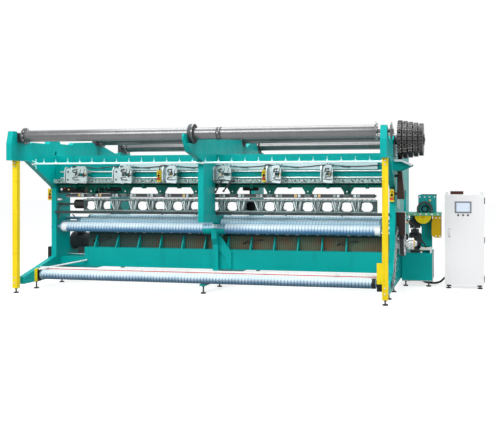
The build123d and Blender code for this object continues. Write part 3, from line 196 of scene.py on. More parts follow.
# %% Floor
FLOOR_REACH = 60
FLOOR_GLOW = 0.74
FLOOR_SHOWN, FLOOR_LIT = (0.42, 0.42, 0.42, 1), (0.22, 0.22, 0.22, 1)
floor_material = bpy.data.materials.new("studio_floor")
tree = empty_tree(floor_material)
glow = add(tree, "ShaderNodeEmission", {"Color": WHITE, "Strength": FLOOR_GLOW})
catch = add(tree, "ShaderNodeBsdfDiffuse", {"Color": FLOOR_SHOWN})
two_looks(tree, add(tree, "ShaderNodeBsdfDiffuse", {"Color": FLOOR_LIT}),
    add(tree, "ShaderNodeAddShader", {0: glow.outputs[0], 1: catch.outputs[0]}),
    "ShaderNodeOutputMaterial")
floor_mesh = bpy.data.meshes.new("floor")
floor_mesh.from_pydata([(x * FLOOR_REACH, y * FLOOR_REACH, 0)
        for x, y in ((-1, -1), (1, -1), (1, 1), (-1, 1))], [], [(0, 1, 2, 3)])
floor_mesh.materials.append(floor_material)
floor = bpy.data.objects.new("floor", floor_mesh)
scene.collection.objects.link(floor)

# %% [markdown]
# ## Finish helpers
#
# Each finish is procedural. Patterns read object coordinates, which are frame
# coordinates because every object sits at the origin. One CAD node can hold several
# parts, so a finish can also have zones: boxes in which another colour takes over.


# %% Finish helpers
def start_material(name):
    """New node material: (material, principled shader, object coordinates)."""
    material = bpy.data.materials.new(name)
    tree = empty_tree(material)
    shader = add(tree, "ShaderNodeBsdfPrincipled")
    add(tree, "ShaderNodeOutputMaterial", {0: shader.outputs[0]})
    return material, shader, add(tree, "ShaderNodeTexCoord").outputs["Object"]


def opaque(colour):
    """Colour with its alpha, or the socket that gives it."""
    return (*colour, 1) if isinstance(colour, tuple) else colour


def blend_colours(factor, first, second):
    """Colour going from first to second by factor; each is a colour or a socket."""
    return add(factor.id_data, "ShaderNodeMix", {
        "Factor": factor, "A": opaque(first), "B": opaque(second)},
        data_type="RGBA").outputs["Result"]


def bump(shader, height, strength, distance):
    """Bump from a height value."""
    raised = add(height.id_data, "ShaderNodeBump", {
        "Height": height, "Strength": strength, "Distance": distance})
    feed(shader, {"Normal": raised.outputs[0]})


def times(colour, factor):
    """Colour made lighter or darker."""
    return tuple(min(1.0, part * factor) for part in colour)


def inside(place, box):
    """1 inside a box given as (x low, x high, y low, y high, z low, z high)."""
    total = None
    for value, low, high in zip(axes(place), box[::2], box[1::2]):
        if low is None:
            continue
        within = sums("COMPARE", value, (low + high) / 2, (high - low) / 2)
        total = within if total is None else sums("MULTIPLY", total, within)
    return total


def zoned(place, colour, zones):
    """Colour socket or tuple with each zone's colour laid over it."""
    for box, other in zones:
        colour = blend_colours(inside(place, box), colour, other)
    return colour


def shaded(colour, value):
    """Colour, a tuple or a socket, made lighter or darker by a value."""
    return add(value.id_data, "ShaderNodeHueSaturation", {
        "Color": opaque(colour), "Value": value}).outputs[0]


def enamel(name, colour, rough=0.42, mottle=0.1, streaks=0.2, coat=0.03, zones=()):
    """Sprayed paint: slow tone changes, oily streaks, fine orange peel."""
    material, shader, place = start_material(name)
    slow = between(noise(place, 1.3, 4), 0.3, 0.7, 1 - mottle, 1 + mottle)
    run = noise(stretched(place, (9, 9, 0.9)), 1.0, 5, 0.6)
    stained = between(run, 0.56, 0.75, 1, 1 - streaks)
    toned = sums("MULTIPLY", slow, stained)
    smudge = noise(place, 7, 4, 0.65)
    feed(shader, {
        "Base Color": shaded(zoned(place, colour, zones), toned),
        "Roughness": between(smudge, 0.3, 0.7, rough * 0.8, rough * 1.25),
        "Specular IOR Level": 0.12, "Coat Weight": coat, "Coat Roughness": 0.2})
    bump(shader, noise(place, 420, 2), 0.12, 0.0006)
    return material


def metal(name, colour, rough=0.3, along=(1, 30, 30), spots=0.12, metallic=1.0, zones=(), oil=0.0):
    """Turned or ground metal with fine lines along one direction, dull spots and oil."""
    material, shader, place = start_material(name)
    lines = noise(stretched(place, along), 8, 4, 0.7)
    dull = between(noise(place, 5, 5, 0.6), 0.42, 0.75, 1, 1 - spots * 3)
    feed(shader, {
        "Base Color": shaded(zoned(place, colour, zones), dull),
        "Roughness": between(lines, 0.3, 0.7, rough * 0.7, rough * 1.5),
        "Metallic": metallic, "Coat Weight": oil, "Coat Roughness": 0.22, "Coat IOR": 1.7})
    bump(shader, lines, 0.1, 0.0005)
    return material


def plastic(name, colour, rough=0.4):
    """Moulded plastic or rubber with a fine grain."""
    material, shader, place = start_material(name)
    grain = noise(place, 300, 2)
    cloud = noise(place, 20, 3)
    feed(shader, {
        "Base Color": blend_colours(cloud, times(colour, 0.85), times(colour, 1.15)),
        "Roughness": between(grain, 0.3, 0.7, rough * 0.85, rough * 1.15)})
    bump(shader, grain, 0.15, 0.0004)
    return material


# %% [markdown]
# ## Paints and metals
#
# The machine is sprayed in one saturated teal, with yellow guards and posts, bare
# rolls and rods, and castings that years of oil have darkened.

# %% Paints and metals
ANY = (None, None)
TEAL = (0.0, 0.355, 0.335)
teal = enamel("teal_enamel", TEAL)
dark_green = enamel("dark_green_enamel", (0.0, 0.125, 0.095), mottle=0.3, streaks=0.5)
yellow = enamel("yellow_enamel", (0.86, 0.64, 0.014), streaks=0.25)
golden = enamel("golden_enamel", (0.66, 0.41, 0.006), streaks=0.2)
white = enamel("white_enamel", (0.8, 0.82, 0.84), mottle=0.03, streaks=0.05)
grey = enamel("grey_enamel", (0.055, 0.062, 0.068), streaks=0.3)
black = enamel("black_enamel", (0.014, 0.014, 0.016), streaks=0.2)
gunmetal = metal("gunmetal_tube", (0.085, 0.087, 0.09), 0.34, (1.5, 40, 40), 0.1, 0.45, oil=0.8)
steel = metal("bright_steel", (0.6, 0.62, 0.63), 0.28)
silver = metal("silver_casting", (0.56, 0.66, 0.67), 0.42, (6, 6, 6), 0.1, 0.7)
dark_steel = metal("oiled_steel", (0.07, 0.068, 0.07), 0.36, (8, 8, 8), 0.2)
dull_silver = metal("dull_silver", (0.3, 0.36, 0.36), 0.5, (6, 6, 6), 0.15, 0.5)
blade_metal = metal("needle_metal", (0.1, 0.14, 0.145), 0.4, (20, 20, 2), 0.1, 0.7)
link_metal = metal("worn_link", (0.62, 0.56, 0.52), 0.42, (12, 12, 12), 0.15, 0.45)
chrome = metal("chromed_rod", (0.8, 0.86, 0.86), 0.2, (1, 20, 20), 0.03, 0.6)
brass = metal("brass", (0.72, 0.5, 0.2), 0.3)
rubber = plastic("black_rubber", (0.014, 0.014, 0.016), 0.55)
red = plastic("red_plastic", (0.6, 0.02, 0.015), 0.3)
cable_teal = plastic("teal_wire", (0.0, 0.12, 0.12), 0.4)

# %% Paints with zones
rail_paint = enamel("bolt_rail_paint", (0.4, 0.56, 0.53), zones=(
    ((*ANY, *ANY, 1.5, 1.6798), (0.0, 0.115, 0.09)),
    ((*ANY, 0.4, 0.4448, *ANY), (0.03, 0.035, 0.035)),
))
hanger_paint = enamel("hanger_paint", (0.0, 0.125, 0.095), mottle=0.3, streaks=0.5, zones=(
    ((*ANY, *ANY, 1.4, 1.5119), (0.12, 0.16, 0.16)),
))
bar_metal = metal("guide_bar_metal", (0.055, 0.06, 0.063), 0.4, (1, 12, 12), 0.15, 0.8, zones=(
    ((*ANY, *ANY, 1.4, 1.4619), (0.2, 0.23, 0.24)),
))
arm_metal = metal("needle_casting", (0.035, 0.06, 0.065), 0.45, (5, 5, 5), 0.2, 0.5, zones=(
    ((*ANY, 0.4, 0.4859, 1.397, 1.43), (0.17, 0.24, 0.245)),
    ((*ANY, 0.4, 0.4859, 1.22, 1.247), (0.17, 0.24, 0.24)),
))
trick_metal = metal("trick_plate_metal", (0.04, 0.06, 0.062), 0.45, (5, 5, 5), 0.2, 0.6)
holder_paint = enamel("roll_holder_paint", (0.8, 0.62, 0.014), streaks=0.3, zones=(
    ((2.6, 2.8, *ANY, 0.1, 0.232), (0.012, 0.012, 0.013)),
    ((-2.72, -2.7, *ANY, 0.1, 0.5), (0.012, 0.012, 0.013)),
))
spreader_paint = enamel("spreader_paint", (0.8, 0.8, 0.79), mottle=0.06, streaks=0.2, zones=(
    ((*ANY, 0.0, 0.031, 0.306, 0.318), (0.55, 0.05, 0.03)),
))
# Painted shade: the guard is yellow, and its golden base colour stands in for the shade on its sides; the
# bright yellow zone keeps the front.
guard_yellow_and_painted_shade = enamel("drive_guard_yellow_and_painted_shade", (0.62, 0.39, 0.006), streaks=0.3, zones=(
    ((*ANY, *ANY, 1.1999, 1.5), (0.07, 0.09, 0.09)),
    ((3.0, 3.3595, 1.42, 1.4885, 1.0, 1.1552), (0.88, 0.7, 0.015)),
))
tray_paint = enamel("tray_paint", (0.74, 0.8, 0.82), streaks=0.3, zones=(
    ((*ANY, 0.297, 0.323, 1.5, 2.0175), TEAL),
    ((*ANY, 0.647, 0.673, 1.5, 2.0175), TEAL),
    ((2.85, 2.869, *ANY, 1.5, 2.0175), TEAL),
))
side_guard_paint = enamel("side_guard_paint", (0.035, 0.022, 0.02), streaks=0.4, zones=(
    ((*ANY, 0.686, 0.745, 1.2355, 1.245), (0.74, 0.76, 0.77)),
    ((2.9955, 3.02, 0.686, 0.745, *ANY), (0.74, 0.76, 0.77)),
    ((*ANY, 0.875, 0.925, *ANY), (0.7, 0.74, 0.72)),
))
gearbox_paint = enamel("gearbox_paint", (0.02, 0.4, 0.39), zones=(
    ((*ANY, *ANY, 0.9, 1.1552), (0.03, 0.04, 0.04)),
    ((*ANY, *ANY, 1.4885, 1.51), (0.02, 0.09, 0.09)),
))
base_paint = enamel("drive_base_paint", (0.0, 0.4, 0.38), streaks=0.3, zones=(
    ((3.3695, 3.38, *ANY, *ANY), (0.5, 0.58, 0.56)),
    ((*ANY, 1.47, 1.481, 0.08, 0.102), (0.52, 0.6, 0.58)),
))
table_paint = enamel("drive_table_paint", TEAL, zones=(
    ((*ANY, 1.41, 1.4205, 1.15, 1.205), (0.16, 0.5, 0.28)),
))
shell_paint = enamel("cabinet_enamel", (0.9, 0.89, 0.895), mottle=0.015, streaks=0.02, zones=(
    ((*ANY, *ANY, 1.5003, 1.56), (0.05, 0.016, 0.013)),
))
screen_paint = enamel("screen_frame", (0.24, 0.26, 0.3), rough=0.3, mottle=0.03, streaks=0.0)


# %% [markdown]
# ## Net, sheet and slats
#
# The net is a knitted mesh: wales stand as ribs round the roller, and the slanting legs
# between the knots let the deeper blue layers show. Its pattern reads the piece's own
# UV map, which the net tree below writes in metres along and around the roller.


# %% Net, sheet and slat finishes
WALE = 0.05


def net_cloth(name, deep, pale, cover, underside_painted_shade):
    """Wound net: pale ribs, crossing legs over deeper blue, painted light on top and painted shade below.
    """
    material, shader, place = start_material(name)
    tree = shader.id_data
    flat = axes(add(tree, "ShaderNodeUVMap", uv_map="UVMap").outputs[0])
    sway = between(noise(place, 4, 3), 0, 1, -0.012, 0.012)
    along = sums("ADD", flat[0], sway)

    def wave(value):
        """Smooth bumps, one a wale."""
        turned_value = sums("MULTIPLY", value, math.pi / WALE)
        return sums("ABSOLUTE", sums("SINE", turned_value))

    rib = wave(along)
    legs = sums("MINIMUM", *[
        wave(sums("MULTIPLY_ADD", flat[1], slant, along)) for slant in (1.0, -1.0)])
    thread = between(legs, 0.15, 0.5, 1, 0)
    lit = between(rib, 0.15, 0.75)
    cloud = between(noise(stretched(place, (1.2, 4, 4)), 2.2, 4), 0.35, 0.65)
    fine = between(noise(place, 60, 3, 0.7), 0.35, 0.65)
    shown = sums("MULTIPLY", sums("MULTIPLY_ADD", thread, 0.45, lit),
        between(cloud, 0, 1, cover * 0.75, cover * 1.2))
    # Painted light and shade: the world-space normal pales the upper side and hides the pale threads
    # underneath.
    facing = axes(add(tree, "ShaderNodeNewGeometry").outputs["Normal"])
    painted_top_light = between(facing[2], -0.45, 0.55)
    cover_with_painted_shade = sums("MULTIPLY", shown, between(painted_top_light, 0, 1, underside_painted_shade, 1))
    knitted = blend_colours(cover_with_painted_shade, blend_colours(fine, deep, times(deep, 1.6)),
        blend_colours(cloud, times(pale, 0.86), pale))
    painted_top_highlight = sums("MULTIPLY", sums("POWER", painted_top_light, 2.0), 0.6)
    feed(shader, {
        "Base Color": blend_colours(painted_top_highlight, knitted, pale), "Roughness": 0.6,
        "Specular IOR Level": 0.3, "Sheen Weight": 0.15})
    bump(shader, thread, 0.5, 0.003)
    return material


def brushed_sheet(name, colour, second, size):
    """Pale sheet with slow soft reflections painted into its colour along its length."""
    material, shader, place = start_material(name)
    slow = between(noise(stretched(place, (1, 5, 5)), size, 3), 0.3, 0.7)
    feed(shader, {"Base Color": blend_colours(slow, colour, second),
            "Roughness": 0.35, "Metallic": 0.15})
    bump(shader, noise(stretched(place, (2, 60, 60)), 6, 3), 0.08, 0.0008)
    return material


def oily_slats(name, first, second, end_colour):
    """Brown oily sheet with upright ribs and rusty patches, darker towards its left end."""
    material, shader, place = start_material(name)
    patches = between(noise(place, 2.5, 5, 0.6), 0.35, 0.65)
    ribs = add(place.id_data, "ShaderNodeTexWave", {
        "Vector": place, "Scale": 9, "Distortion": 0.4}).outputs["Fac"]
    lined = between(ribs, 0.3, 0.8, 1, 0.6)
    leftward = between(axes(place)[0], 0.4, -1.8, 0, 0.85)
    worn = blend_colours(leftward, blend_colours(patches, first, second), end_colour)
    feed(shader, {"Base Color": shaded(worn, lined), "Roughness": 0.5,
            "Specular IOR Level": 0.25})
    bump(shader, ribs, 0.4, 0.004)
    return material


net_blue = net_cloth("net_on_roller", (0.008, 0.12, 0.27), (0.74, 0.88, 0.95), 0.95, 0.1)
net_deep = net_cloth("net_on_cloth_roll", (0.008, 0.075, 0.15), (0.66, 0.8, 0.9), 0.8, 0.18)
net_band = net_cloth("net_on_upper_rollers", (0.02, 0.19, 0.33), (0.62, 0.84, 0.94), 0.9, 0.1)
roller_skin = brushed_sheet("roller_skin", (0.1, 0.26, 0.36), (0.2, 0.36, 0.46), 3)
wrap = brushed_sheet("white_wrap", (0.72, 0.8, 0.84), (0.86, 0.9, 0.92), 9)
rail_cyan = brushed_sheet("cyan_rail", (0.6, 0.95, 0.96), (0.78, 0.99, 1.0), 4)
cover_pale = brushed_sheet("pale_cover", (0.55, 0.8, 0.82), (0.7, 0.88, 0.9), 2)
display = brushed_sheet("lit_display", (0.66, 0.76, 0.92), (0.78, 0.86, 0.97), 2)
slats = oily_slats("oily_brown_slats", (0.14, 0.075, 0.035), (0.07, 0.15, 0.1),
    (0.008, 0.055, 0.055))
slats_back = enamel("trough_back_paint", (0.01, 0.06, 0.058), mottle=0.3, streaks=0.4)


# %% Finish the CAD nodes that keep their shape
def finish_node(name, material):
    """Give a carried-over CAD node its material."""
    node = nodes[name]
    node.data.materials.clear()
    node.data.materials.append(material)


for names, material in (
    (("left_frame", "right_frame", "middle_frame", "upper_beams", "lower_beams",
      "rear_beams"), teal),
    (("front_posts", "button_boxes"), yellow),
    (("roll_holders",), holder_paint),
    (("drive_guards",), guard_yellow_and_painted_shade),
    (("needle_bar", "main_shaft", "motor_pulley", "lock_handle", "air_cylinder"), steel),
    (("levelling_feet",), dark_steel),
    (("front_warp_beam", "middle_warp_beam", "rear_warp_beam"), gunmetal),
    (("beam_bearings", "take_up_motor", "main_motor"), grey),
    (("thread_rail",), rail_cyan),
    (("head_cover",), cover_pale),
    (("head_rods",), chrome),
    (("rod_brackets",), silver),
    (("front_guide_bar", "rear_guide_bar"), bar_metal),
    (("bolt_rail",), rail_paint),
    (("hanger_arms",), hanger_paint),
    (("needle_arms",), arm_metal),
    (("trick_plate",), trick_metal),
    (("lower_roller", "middle_roller", "upper_roller", "cloth_roll"), roller_skin),
    (("roll_chain", "pattern_chains", "pattern_drum"), dark_steel),
    (("spreader_bar",), spreader_paint),
    (("trough_covers",), slats),
    (("handwheel", "head_cable", "drive_belt"), rubber),
    (("roll_drive_box", "cabinet_left_button", "cabinet_middle_button",
      "cabinet_right_button"), black),
    (("pattern_bracket",), tray_paint),
    (("side_guards",), side_guard_paint),
    (("gearbox",), gearbox_paint),
    (("drive_base",), base_paint),
    (("drive_table",), table_paint),
    (("left_stop_button", "right_stop_button", "head_left_button",
      "head_right_button"), red),
    (("cabinet_shell", "cabinet_door"), shell_paint),
    (("touch_screen",), screen_paint),
):
    for name in names:
        finish_node(name, material)
print("finished", len(nodes), "nodes")

# %% [markdown]
# ## Hand tools
#
# Small parts are worked from a few shapes: chamfered blocks, rods, prisms cut from an
# outline, turned rings and hoses. Each tool returns a mesh with its finish, and a piece
# joins such meshes, keeping their finishes, and rides on a body.


# %% Hand tools
def to_mesh(part, finish):
    """Plain mesh from a bmesh, with its finish."""
    mesh = bpy.data.meshes.new("part")
    part.to_mesh(mesh)
    part.free()
    mesh.materials.append(finish)
    return mesh


def block(finish, low, high, edge=0.002):
    """Box with chamfered edges."""
    part = bmesh.new()
    bmesh.ops.create_cube(part, size=1)
    low, high = Vector(low), Vector(high)
    for vert in part.verts:
        vert.co = Vector(l + (h - l) * (c + 0.5) for l, h, c in zip(low, high, vert.co))
    if edge:
        bmesh.ops.bevel(part, geom=part.edges[:], offset=edge, segments=1, affect="EDGES")
    return to_mesh(part, finish)


def rod(finish, start, end, radius, sides=14, end_radius=None):
    """Round bar or cone between two points."""
    part = bmesh.new()
    start, end = Vector(start), Vector(end)
    line = end - start
    bmesh.ops.create_cone(part, cap_ends=True, segments=sides, radius1=radius,
        radius2=radius if end_radius is None else end_radius,
        depth=line.length)
    turn = line.to_track_quat("Z", "Y").to_matrix().to_4x4()
    bmesh.ops.transform(part, matrix=Matrix.Translation((start + end) / 2) @ turn,
        verts=part.verts)
    return to_mesh(part, finish)


PRISM_AXES = {"X": lambda a, b, c: (c, a, b), "Y": lambda a, b, c: (a, c, b),
    "Z": lambda a, b, c: (a, b, c)}


def prism(finish, axis, outline, low, high):
    """Flat outline given thickness along an axis."""
    part = bmesh.new()
    place = PRISM_AXES[axis]
    near = [part.verts.new(place(a, b, low)) for a, b in outline]
    far = [part.verts.new(place(a, b, high)) for a, b in outline]
    part.faces.new(near)
    part.faces.new(far)
    for here, there in zip(range(len(near)), [*range(1, len(near)), 0]):
        part.faces.new((near[here], near[there], far[there], far[here]))
    bmesh.ops.recalc_face_normals(part, faces=part.faces)
    return to_mesh(part, finish)


def turned(finish, axis, centre, profile, sides=32, closed=False):
    """Profile of (place along the axis, radius) turned round the axis."""
    part = bmesh.new()
    rings = []
    for along, radius in profile:
        if radius == 0:
            points = [(0, 0)]
        else:
            points = [(radius * math.cos(turn), radius * math.sin(turn))
                for turn in (2 * math.pi * k / sides for k in range(sides))]
        rings.append([part.verts.new(PRISM_AXES[axis](centre[0] + a, centre[1] + b, along))
                for a, b in points])
    pairs = list(zip(rings, rings[1:])) + ([(rings[-1], rings[0])] if closed else [])
    for first, second in pairs:
        for k in range(sides):
            corners = [first[k % len(first)], first[(k + 1) % len(first)],
                second[(k + 1) % len(second)], second[k % len(second)]]
            part.faces.new(list(dict.fromkeys(corners)))
    bmesh.ops.recalc_face_normals(part, faces=part.faces)
    return to_mesh(part, finish)


def disc(finish, axis, centre, low, high, radius, sides=24, lip=0.0015):
    """Round boss with a chamfered rim on each face."""
    return turned(finish, axis, centre, [(low, 0), (low, radius - lip), (low + lip, radius),
            (high - lip, radius), (high, radius - lip), (high, 0)],
        sides)


def ring(finish, axis, centre, low, high, inner, outer, sides=32):
    """Plain ring round an axis."""
    return turned(finish, axis, centre, [(low, inner), (low, outer), (high, outer),
            (high, inner)], sides, closed=True)


def hose(finish, points, radius, sides=3):
    """Hose or wire along one smooth line through its bends."""
    line = bpy.data.curves.new("hose", "CURVE")
    line.dimensions = "3D"
    line.bevel_depth = radius
    line.bevel_resolution = sides
    line.use_fill_caps = True
    line.resolution_u = 6
    spline = line.splines.new("NURBS")
    spline.points.add(len(points) - 1)
    for point, place in zip(spline.points, points):
        point.co = (*place, 1)
    spline.order_u = 3
    spline.use_endpoint_u = True
    holder = bpy.data.objects.new("hose", line)
    scene.collection.objects.link(holder)
    mesh = evaluated_mesh(holder)
    bpy.data.objects.remove(holder)
    mesh.materials.clear()
    mesh.materials.append(finish)
    return mesh


def piece(name, body, parts, sharp=35):
    """Join parts into one piece that rides on a body and keeps its parts' finishes."""
    whole = bmesh.new()
    finishes = []
    for part in parts:
        before = len(whole.faces)
        whole.from_mesh(part)
        whole.faces.ensure_lookup_table()
        for finish in part.materials:
            if finish not in finishes:
                finishes.append(finish)
        places = [finishes.index(finish) for finish in part.materials]
        for face in whole.faces[before:]:
            face.material_index = places[min(face.material_index, len(places) - 1)]
            face.smooth = True
    mesh = bpy.data.meshes.new(name)
    whole.to_mesh(mesh)
    whole.free()
    for finish in finishes:
        mesh.materials.append(finish)
    mesh.set_sharp_from_angle(angle=math.radians(sharp))
    made = bpy.data.objects.new(name, mesh)
    scene.collection.objects.link(made)
    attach(made, body)
    print(name, len(mesh.polygons), "faces")
    return made


# %% [markdown]
# ## Repeats by Geometry Nodes
#
# Bolts, links, pins and clips repeat along a line or round a drum. One node tree turns
# a path into points and sets a part on each, with a little seeded unevenness where
# hands have set them.


# %% Start and run a tree
def start_tree(name, inputs, result):
    """Geometry node tree with named inputs: (tree, its inputs by name)."""
    tree = bpy.data.node_groups.new(name, "GeometryNodeTree")
    for socket, kind in inputs:
        tree.interface.new_socket(socket, in_out="INPUT", socket_type="NodeSocket" + kind)
    tree.interface.new_socket(result, in_out="OUTPUT", socket_type="NodeSocketGeometry")
    return tree, add(tree, "NodeGroupInput").outputs


def end_tree(tree, shape, finish):
    """End a tree: real meshes with their finish."""
    real = add(tree, "GeometryNodeRealizeInstances", {0: shape})
    painted = add(tree, "GeometryNodeSetMaterial", {
        "Geometry": real.outputs[0], "Material": finish})
    add(tree, "NodeGroupOutput", {0: painted.outputs[0]})


def evaluated_mesh(holder):
    """Plain mesh of an object as it is evaluated."""
    return bpy.data.meshes.new_from_object(
        holder.evaluated_get(bpy.context.evaluated_depsgraph_get()))


def run_tree(tree, mesh, values):
    """Mesh that a node tree makes from a start mesh and its named inputs."""
    holder = bpy.data.objects.new("holder", mesh)
    scene.collection.objects.link(holder)
    modifier = holder.modifiers.new("tree", "NODES")
    modifier.node_group = tree
    for socket in tree.interface.items_tree:
        if socket.item_type == "SOCKET" and socket.in_out == "INPUT" and socket.name in values:
            modifier[socket.identifier] = values[socket.name]
    made = evaluated_mesh(holder)
    holder.modifiers.remove(modifier)
    bpy.data.objects.remove(holder)
    return made


def random_number(low, high, seed):
    """Seeded random number between two values."""
    node = add(seed.id_data, "FunctionNodeRandomValue", {"Seed": seed}, data_type="FLOAT")
    places = [number for number, socket in enumerate(node.inputs)
        if socket.type == "VALUE" and socket.name in ("Min", "Max")]
    feed(node, dict(zip(places, (low, high))))
    return next(socket for socket in node.outputs if socket.type == "VALUE")


# %% Tree that sets a part along a path
repeats, given = start_tree("parts_along_path", (
    ("Path", "Geometry"), ("Part", "Object"), ("Count", "Int"), ("Follow", "Float"),
    ("Uneven turn", "Float"), ("Uneven size", "Float"), ("Seed", "Int"),
    ("Finish", "Material")), "Row")
curve = add(repeats, "GeometryNodeMeshToCurve", {"Mesh": given["Path"]})
points = add(repeats, "GeometryNodeCurveToPoints", {
    "Curve": curve.outputs[0], "Count": given["Count"]}, mode="COUNT").outputs
align = add(repeats, "FunctionNodeAlignRotationToVector", {
    "Vector": points["Tangent"], "Factor": given["Follow"]}, axis="Y", pivot_axis="X")
stencil = add(repeats, "GeometryNodeObjectInfo", {"Object": given["Part"]})
most_turn = given["Uneven turn"]
swing = random_number(sums("MULTIPLY", most_turn, -1), most_turn, given["Seed"])
size = random_number(sums("SUBTRACT", 1, given["Uneven size"]), 1, given["Seed"])
turn = add(repeats, "FunctionNodeRotateRotation", {
    "Rotation": align.outputs[0], "Rotate By": together(swing)},
    rotation_space="LOCAL")
placed = add(repeats, "GeometryNodeInstanceOnPoints", {
    "Points": points["Points"], "Instance": stencil.outputs["Geometry"],
    "Rotation": turn.outputs[0], "Scale": size})
end_tree(repeats, placed.outputs[0], given["Finish"])


# %% Rows, rings and bolts
def repeat(part, path, count, follow=0.0, closed=False, uneven=(0.0, 0.0), seed=1):
    """Parts set evenly along a path of points."""
    edges = [(k, k + 1) for k in range(len(path) - 1)]
    if closed:
        edges.append((len(path) - 1, 0))
    line = bpy.data.meshes.new("path")
    line.from_pydata(path, edges, [])
    stencil = bpy.data.objects.new("part", part)
    scene.collection.objects.link(stencil)
    made = run_tree(repeats, line, {
        "Part": stencil, "Count": count, "Follow": follow, "Uneven turn": uneven[0],
        "Uneven size": uneven[1], "Seed": seed, "Finish": part.materials[0]})
    bpy.data.objects.remove(stencil)
    return made


def row(part, start, end, count, **more):
    """Parts in a straight row."""
    return repeat(part, [start, end], count, **more)


def circle_path(x, y, z, radius, steps=48):
    """Points round a circle about the X axis."""
    return [(x, y + radius * math.cos(2 * math.pi * k / steps),
            z + radius * math.sin(2 * math.pi * k / steps)) for k in range(steps)]


def bolt(finish, radius, height, axis="Y"):
    """Hexagon bolt head on its washer, at the origin and standing along -Y or +X."""
    outward = Vector((0, -1, 0)) if axis == "Y" else Vector((1, 0, 0))
    whole = bmesh.new()
    for part in (rod(finish, (0, 0, 0), outward * height * 0.25, radius * 1.45, 16),
            rod(finish, outward * height * 0.2, outward * height, radius, 6)):
        whole.from_mesh(part)
    return to_mesh(whole, finish)


def bolt_row(finish, radius, height, start, end, count, **more):
    """Bolt heads in a straight row, facing the front."""
    return row(bolt(finish, radius, height), start, end, count, **more)


def bolt_ring(finish, radius, height, circle, count):
    """Bolt heads round a circle of (x, y, z, radius), facing right."""
    return repeat(bolt(finish, radius, height, "X"), circle_path(*circle), count, closed=True)


# %% [markdown]
# ## Wound net
#
# The goods leave the needles as a ribbed net and wind over three steel rollers on to
# the cloth roll. A second tree bends a grid round the roller axis and lifts it into one
# rib a wale, with a seeded unevenness of the winding.

# %% Tree that winds net round an axis
winding, given = start_tree("net_round_roller", (
    ("Start", "Float"), ("Length", "Float"), ("Centre Y", "Float"), ("Centre Z", "Float"),
    ("Radius", "Float"), ("Wale", "Float"), ("Rib", "Float"), ("Unevenness", "Float"),
    ("Steps along", "Int"), ("Steps round", "Int"), ("Finish", "Material")), "Net")
grid = add(winding, "GeometryNodeMeshGrid", {
    "Size X": given["Length"], "Size Y": 2 * math.pi, "Vertices X": given["Steps along"],
    "Vertices Y": given["Steps round"]}).outputs
metres = together(given["Length"],
    sums("MULTIPLY", given["Radius"], 2 * math.pi))
spread_uv = add(winding, "ShaderNodeVectorMath", {0: grid["UV Map"], 1: metres},
    operation="MULTIPLY")
keep_uv = add(winding, "GeometryNodeStoreNamedAttribute", {
    "Geometry": grid["Mesh"], "Name": "UVMap", "Value": spread_uv.outputs[0]},
    data_type="FLOAT2", domain="CORNER")
here = axes(add(winding, "GeometryNodeInputPosition").outputs[0])
half = sums("MULTIPLY", given["Length"], 0.5)
along = sums("ADD", sums("ADD", here[0], half), given["Start"])
cosine = sums("COSINE", here[1])
sine = sums("SINE", here[1])
swell = sums("MULTIPLY", noise(together(along, cosine, sine), 2.5, 3),
    given["Unevenness"])
wales = sums("DIVIDE", sums("MULTIPLY", along, math.pi), given["Wale"])
ribs = sums("MULTIPLY", sums("ABSOLUTE", sums("SINE", wales)),
    given["Rib"])
reach = sums("ADD", sums("ADD", given["Radius"], ribs), swell)
bent = together(along,
    sums("MULTIPLY_ADD", cosine, reach, given["Centre Y"]),
    sums("MULTIPLY_ADD", sine, reach, given["Centre Z"]))
moved = add(winding, "GeometryNodeSetPosition", {"Geometry": keep_uv.outputs[0], "Position": bent})
welded = add(winding, "GeometryNodeMergeByDistance", {
    "Geometry": moved.outputs[0], "Distance": 0.00002})
end_tree(winding, welded.outputs[0], given["Finish"])


def wound(finish, start, end, centre, radius, rib=0.0022, uneven=0.002, round_steps=40):
    """Net wound from one place to another on a roller."""
    return run_tree(winding, bpy.data.meshes.new("empty"), {
        "Start": start, "Length": end - start, "Centre Y": centre[0], "Centre Z": centre[1],
        "Radius": radius, "Wale": WALE, "Rib": rib, "Unevenness": uneven,
        "Steps along": int((end - start) / WALE * 4) + 1, "Steps round": round_steps + 1,
        "Finish": finish})


# %% Net on the rollers and on the cloth roll
LOWER, MIDDLE, UPPER, CLOTH = (0.585, 0.955), (0.705, 1.035), (0.845, 1.09), (-0.05, 0.228)
piece("lower_roller_net", "lower_roll", [
    wound(net_blue, -2.6, -0.2, LOWER, 0.0765),
    wound(net_blue, -0.2, 0.17, LOWER, 0.0752, 0.0006, 0.0004),
    wound(net_blue, 0.17, 2.56, LOWER, 0.0765),
    turned(wrap, "X", LOWER, [(-2.698, 0.06), (-2.688, 0.072), (-2.66, 0.0795), (-2.61, 0.081),
        (-2.585, 0.0805), (-2.585, 0.074), (-2.69, 0.058)], closed=True),
    turned(wrap, "X", LOWER, [(2.55, 0.074), (2.55, 0.08), (2.6, 0.0785), (2.632, 0.077),
        (2.632, 0.07)], closed=True),
])
piece("middle_roller_net", "middle_roll", [
    wound(net_band, -2.4, -0.06, MIDDLE, 0.0655, 0.0018, 0.001, 32),
    wound(net_band, 0.06, 2.6, MIDDLE, 0.0655, 0.0018, 0.001, 32),
])
piece("upper_roller_net", "upper_roll", [
    wound(net_band, -2.3, -0.06, UPPER, 0.0655, 0.0018, 0.001, 32),
    wound(net_band, 0.06, 2.61, UPPER, 0.0655, 0.0018, 0.001, 32),
])
cloth_parts = [
    wound(net_deep, -2.66, 2.58, CLOTH, 0.0685, 0.0026, 0.003),
    turned(wrap, "X", CLOTH, [(-2.69, 0.05), (-2.686, 0.066), (-2.65, 0.0705), (-2.65, 0.064)],
        closed=True),
    turned(black, "X", CLOTH, [(2.572, 0.06), (2.572, 0.0725), (2.6, 0.074), (2.632, 0.0725),
        (2.636, 0.06)], closed=True),
    ring(steel, "X", CLOTH, 2.7, 2.735, 0.0205, 0.034),
]
piece("cloth_roll_net", "wound_roll", cloth_parts)

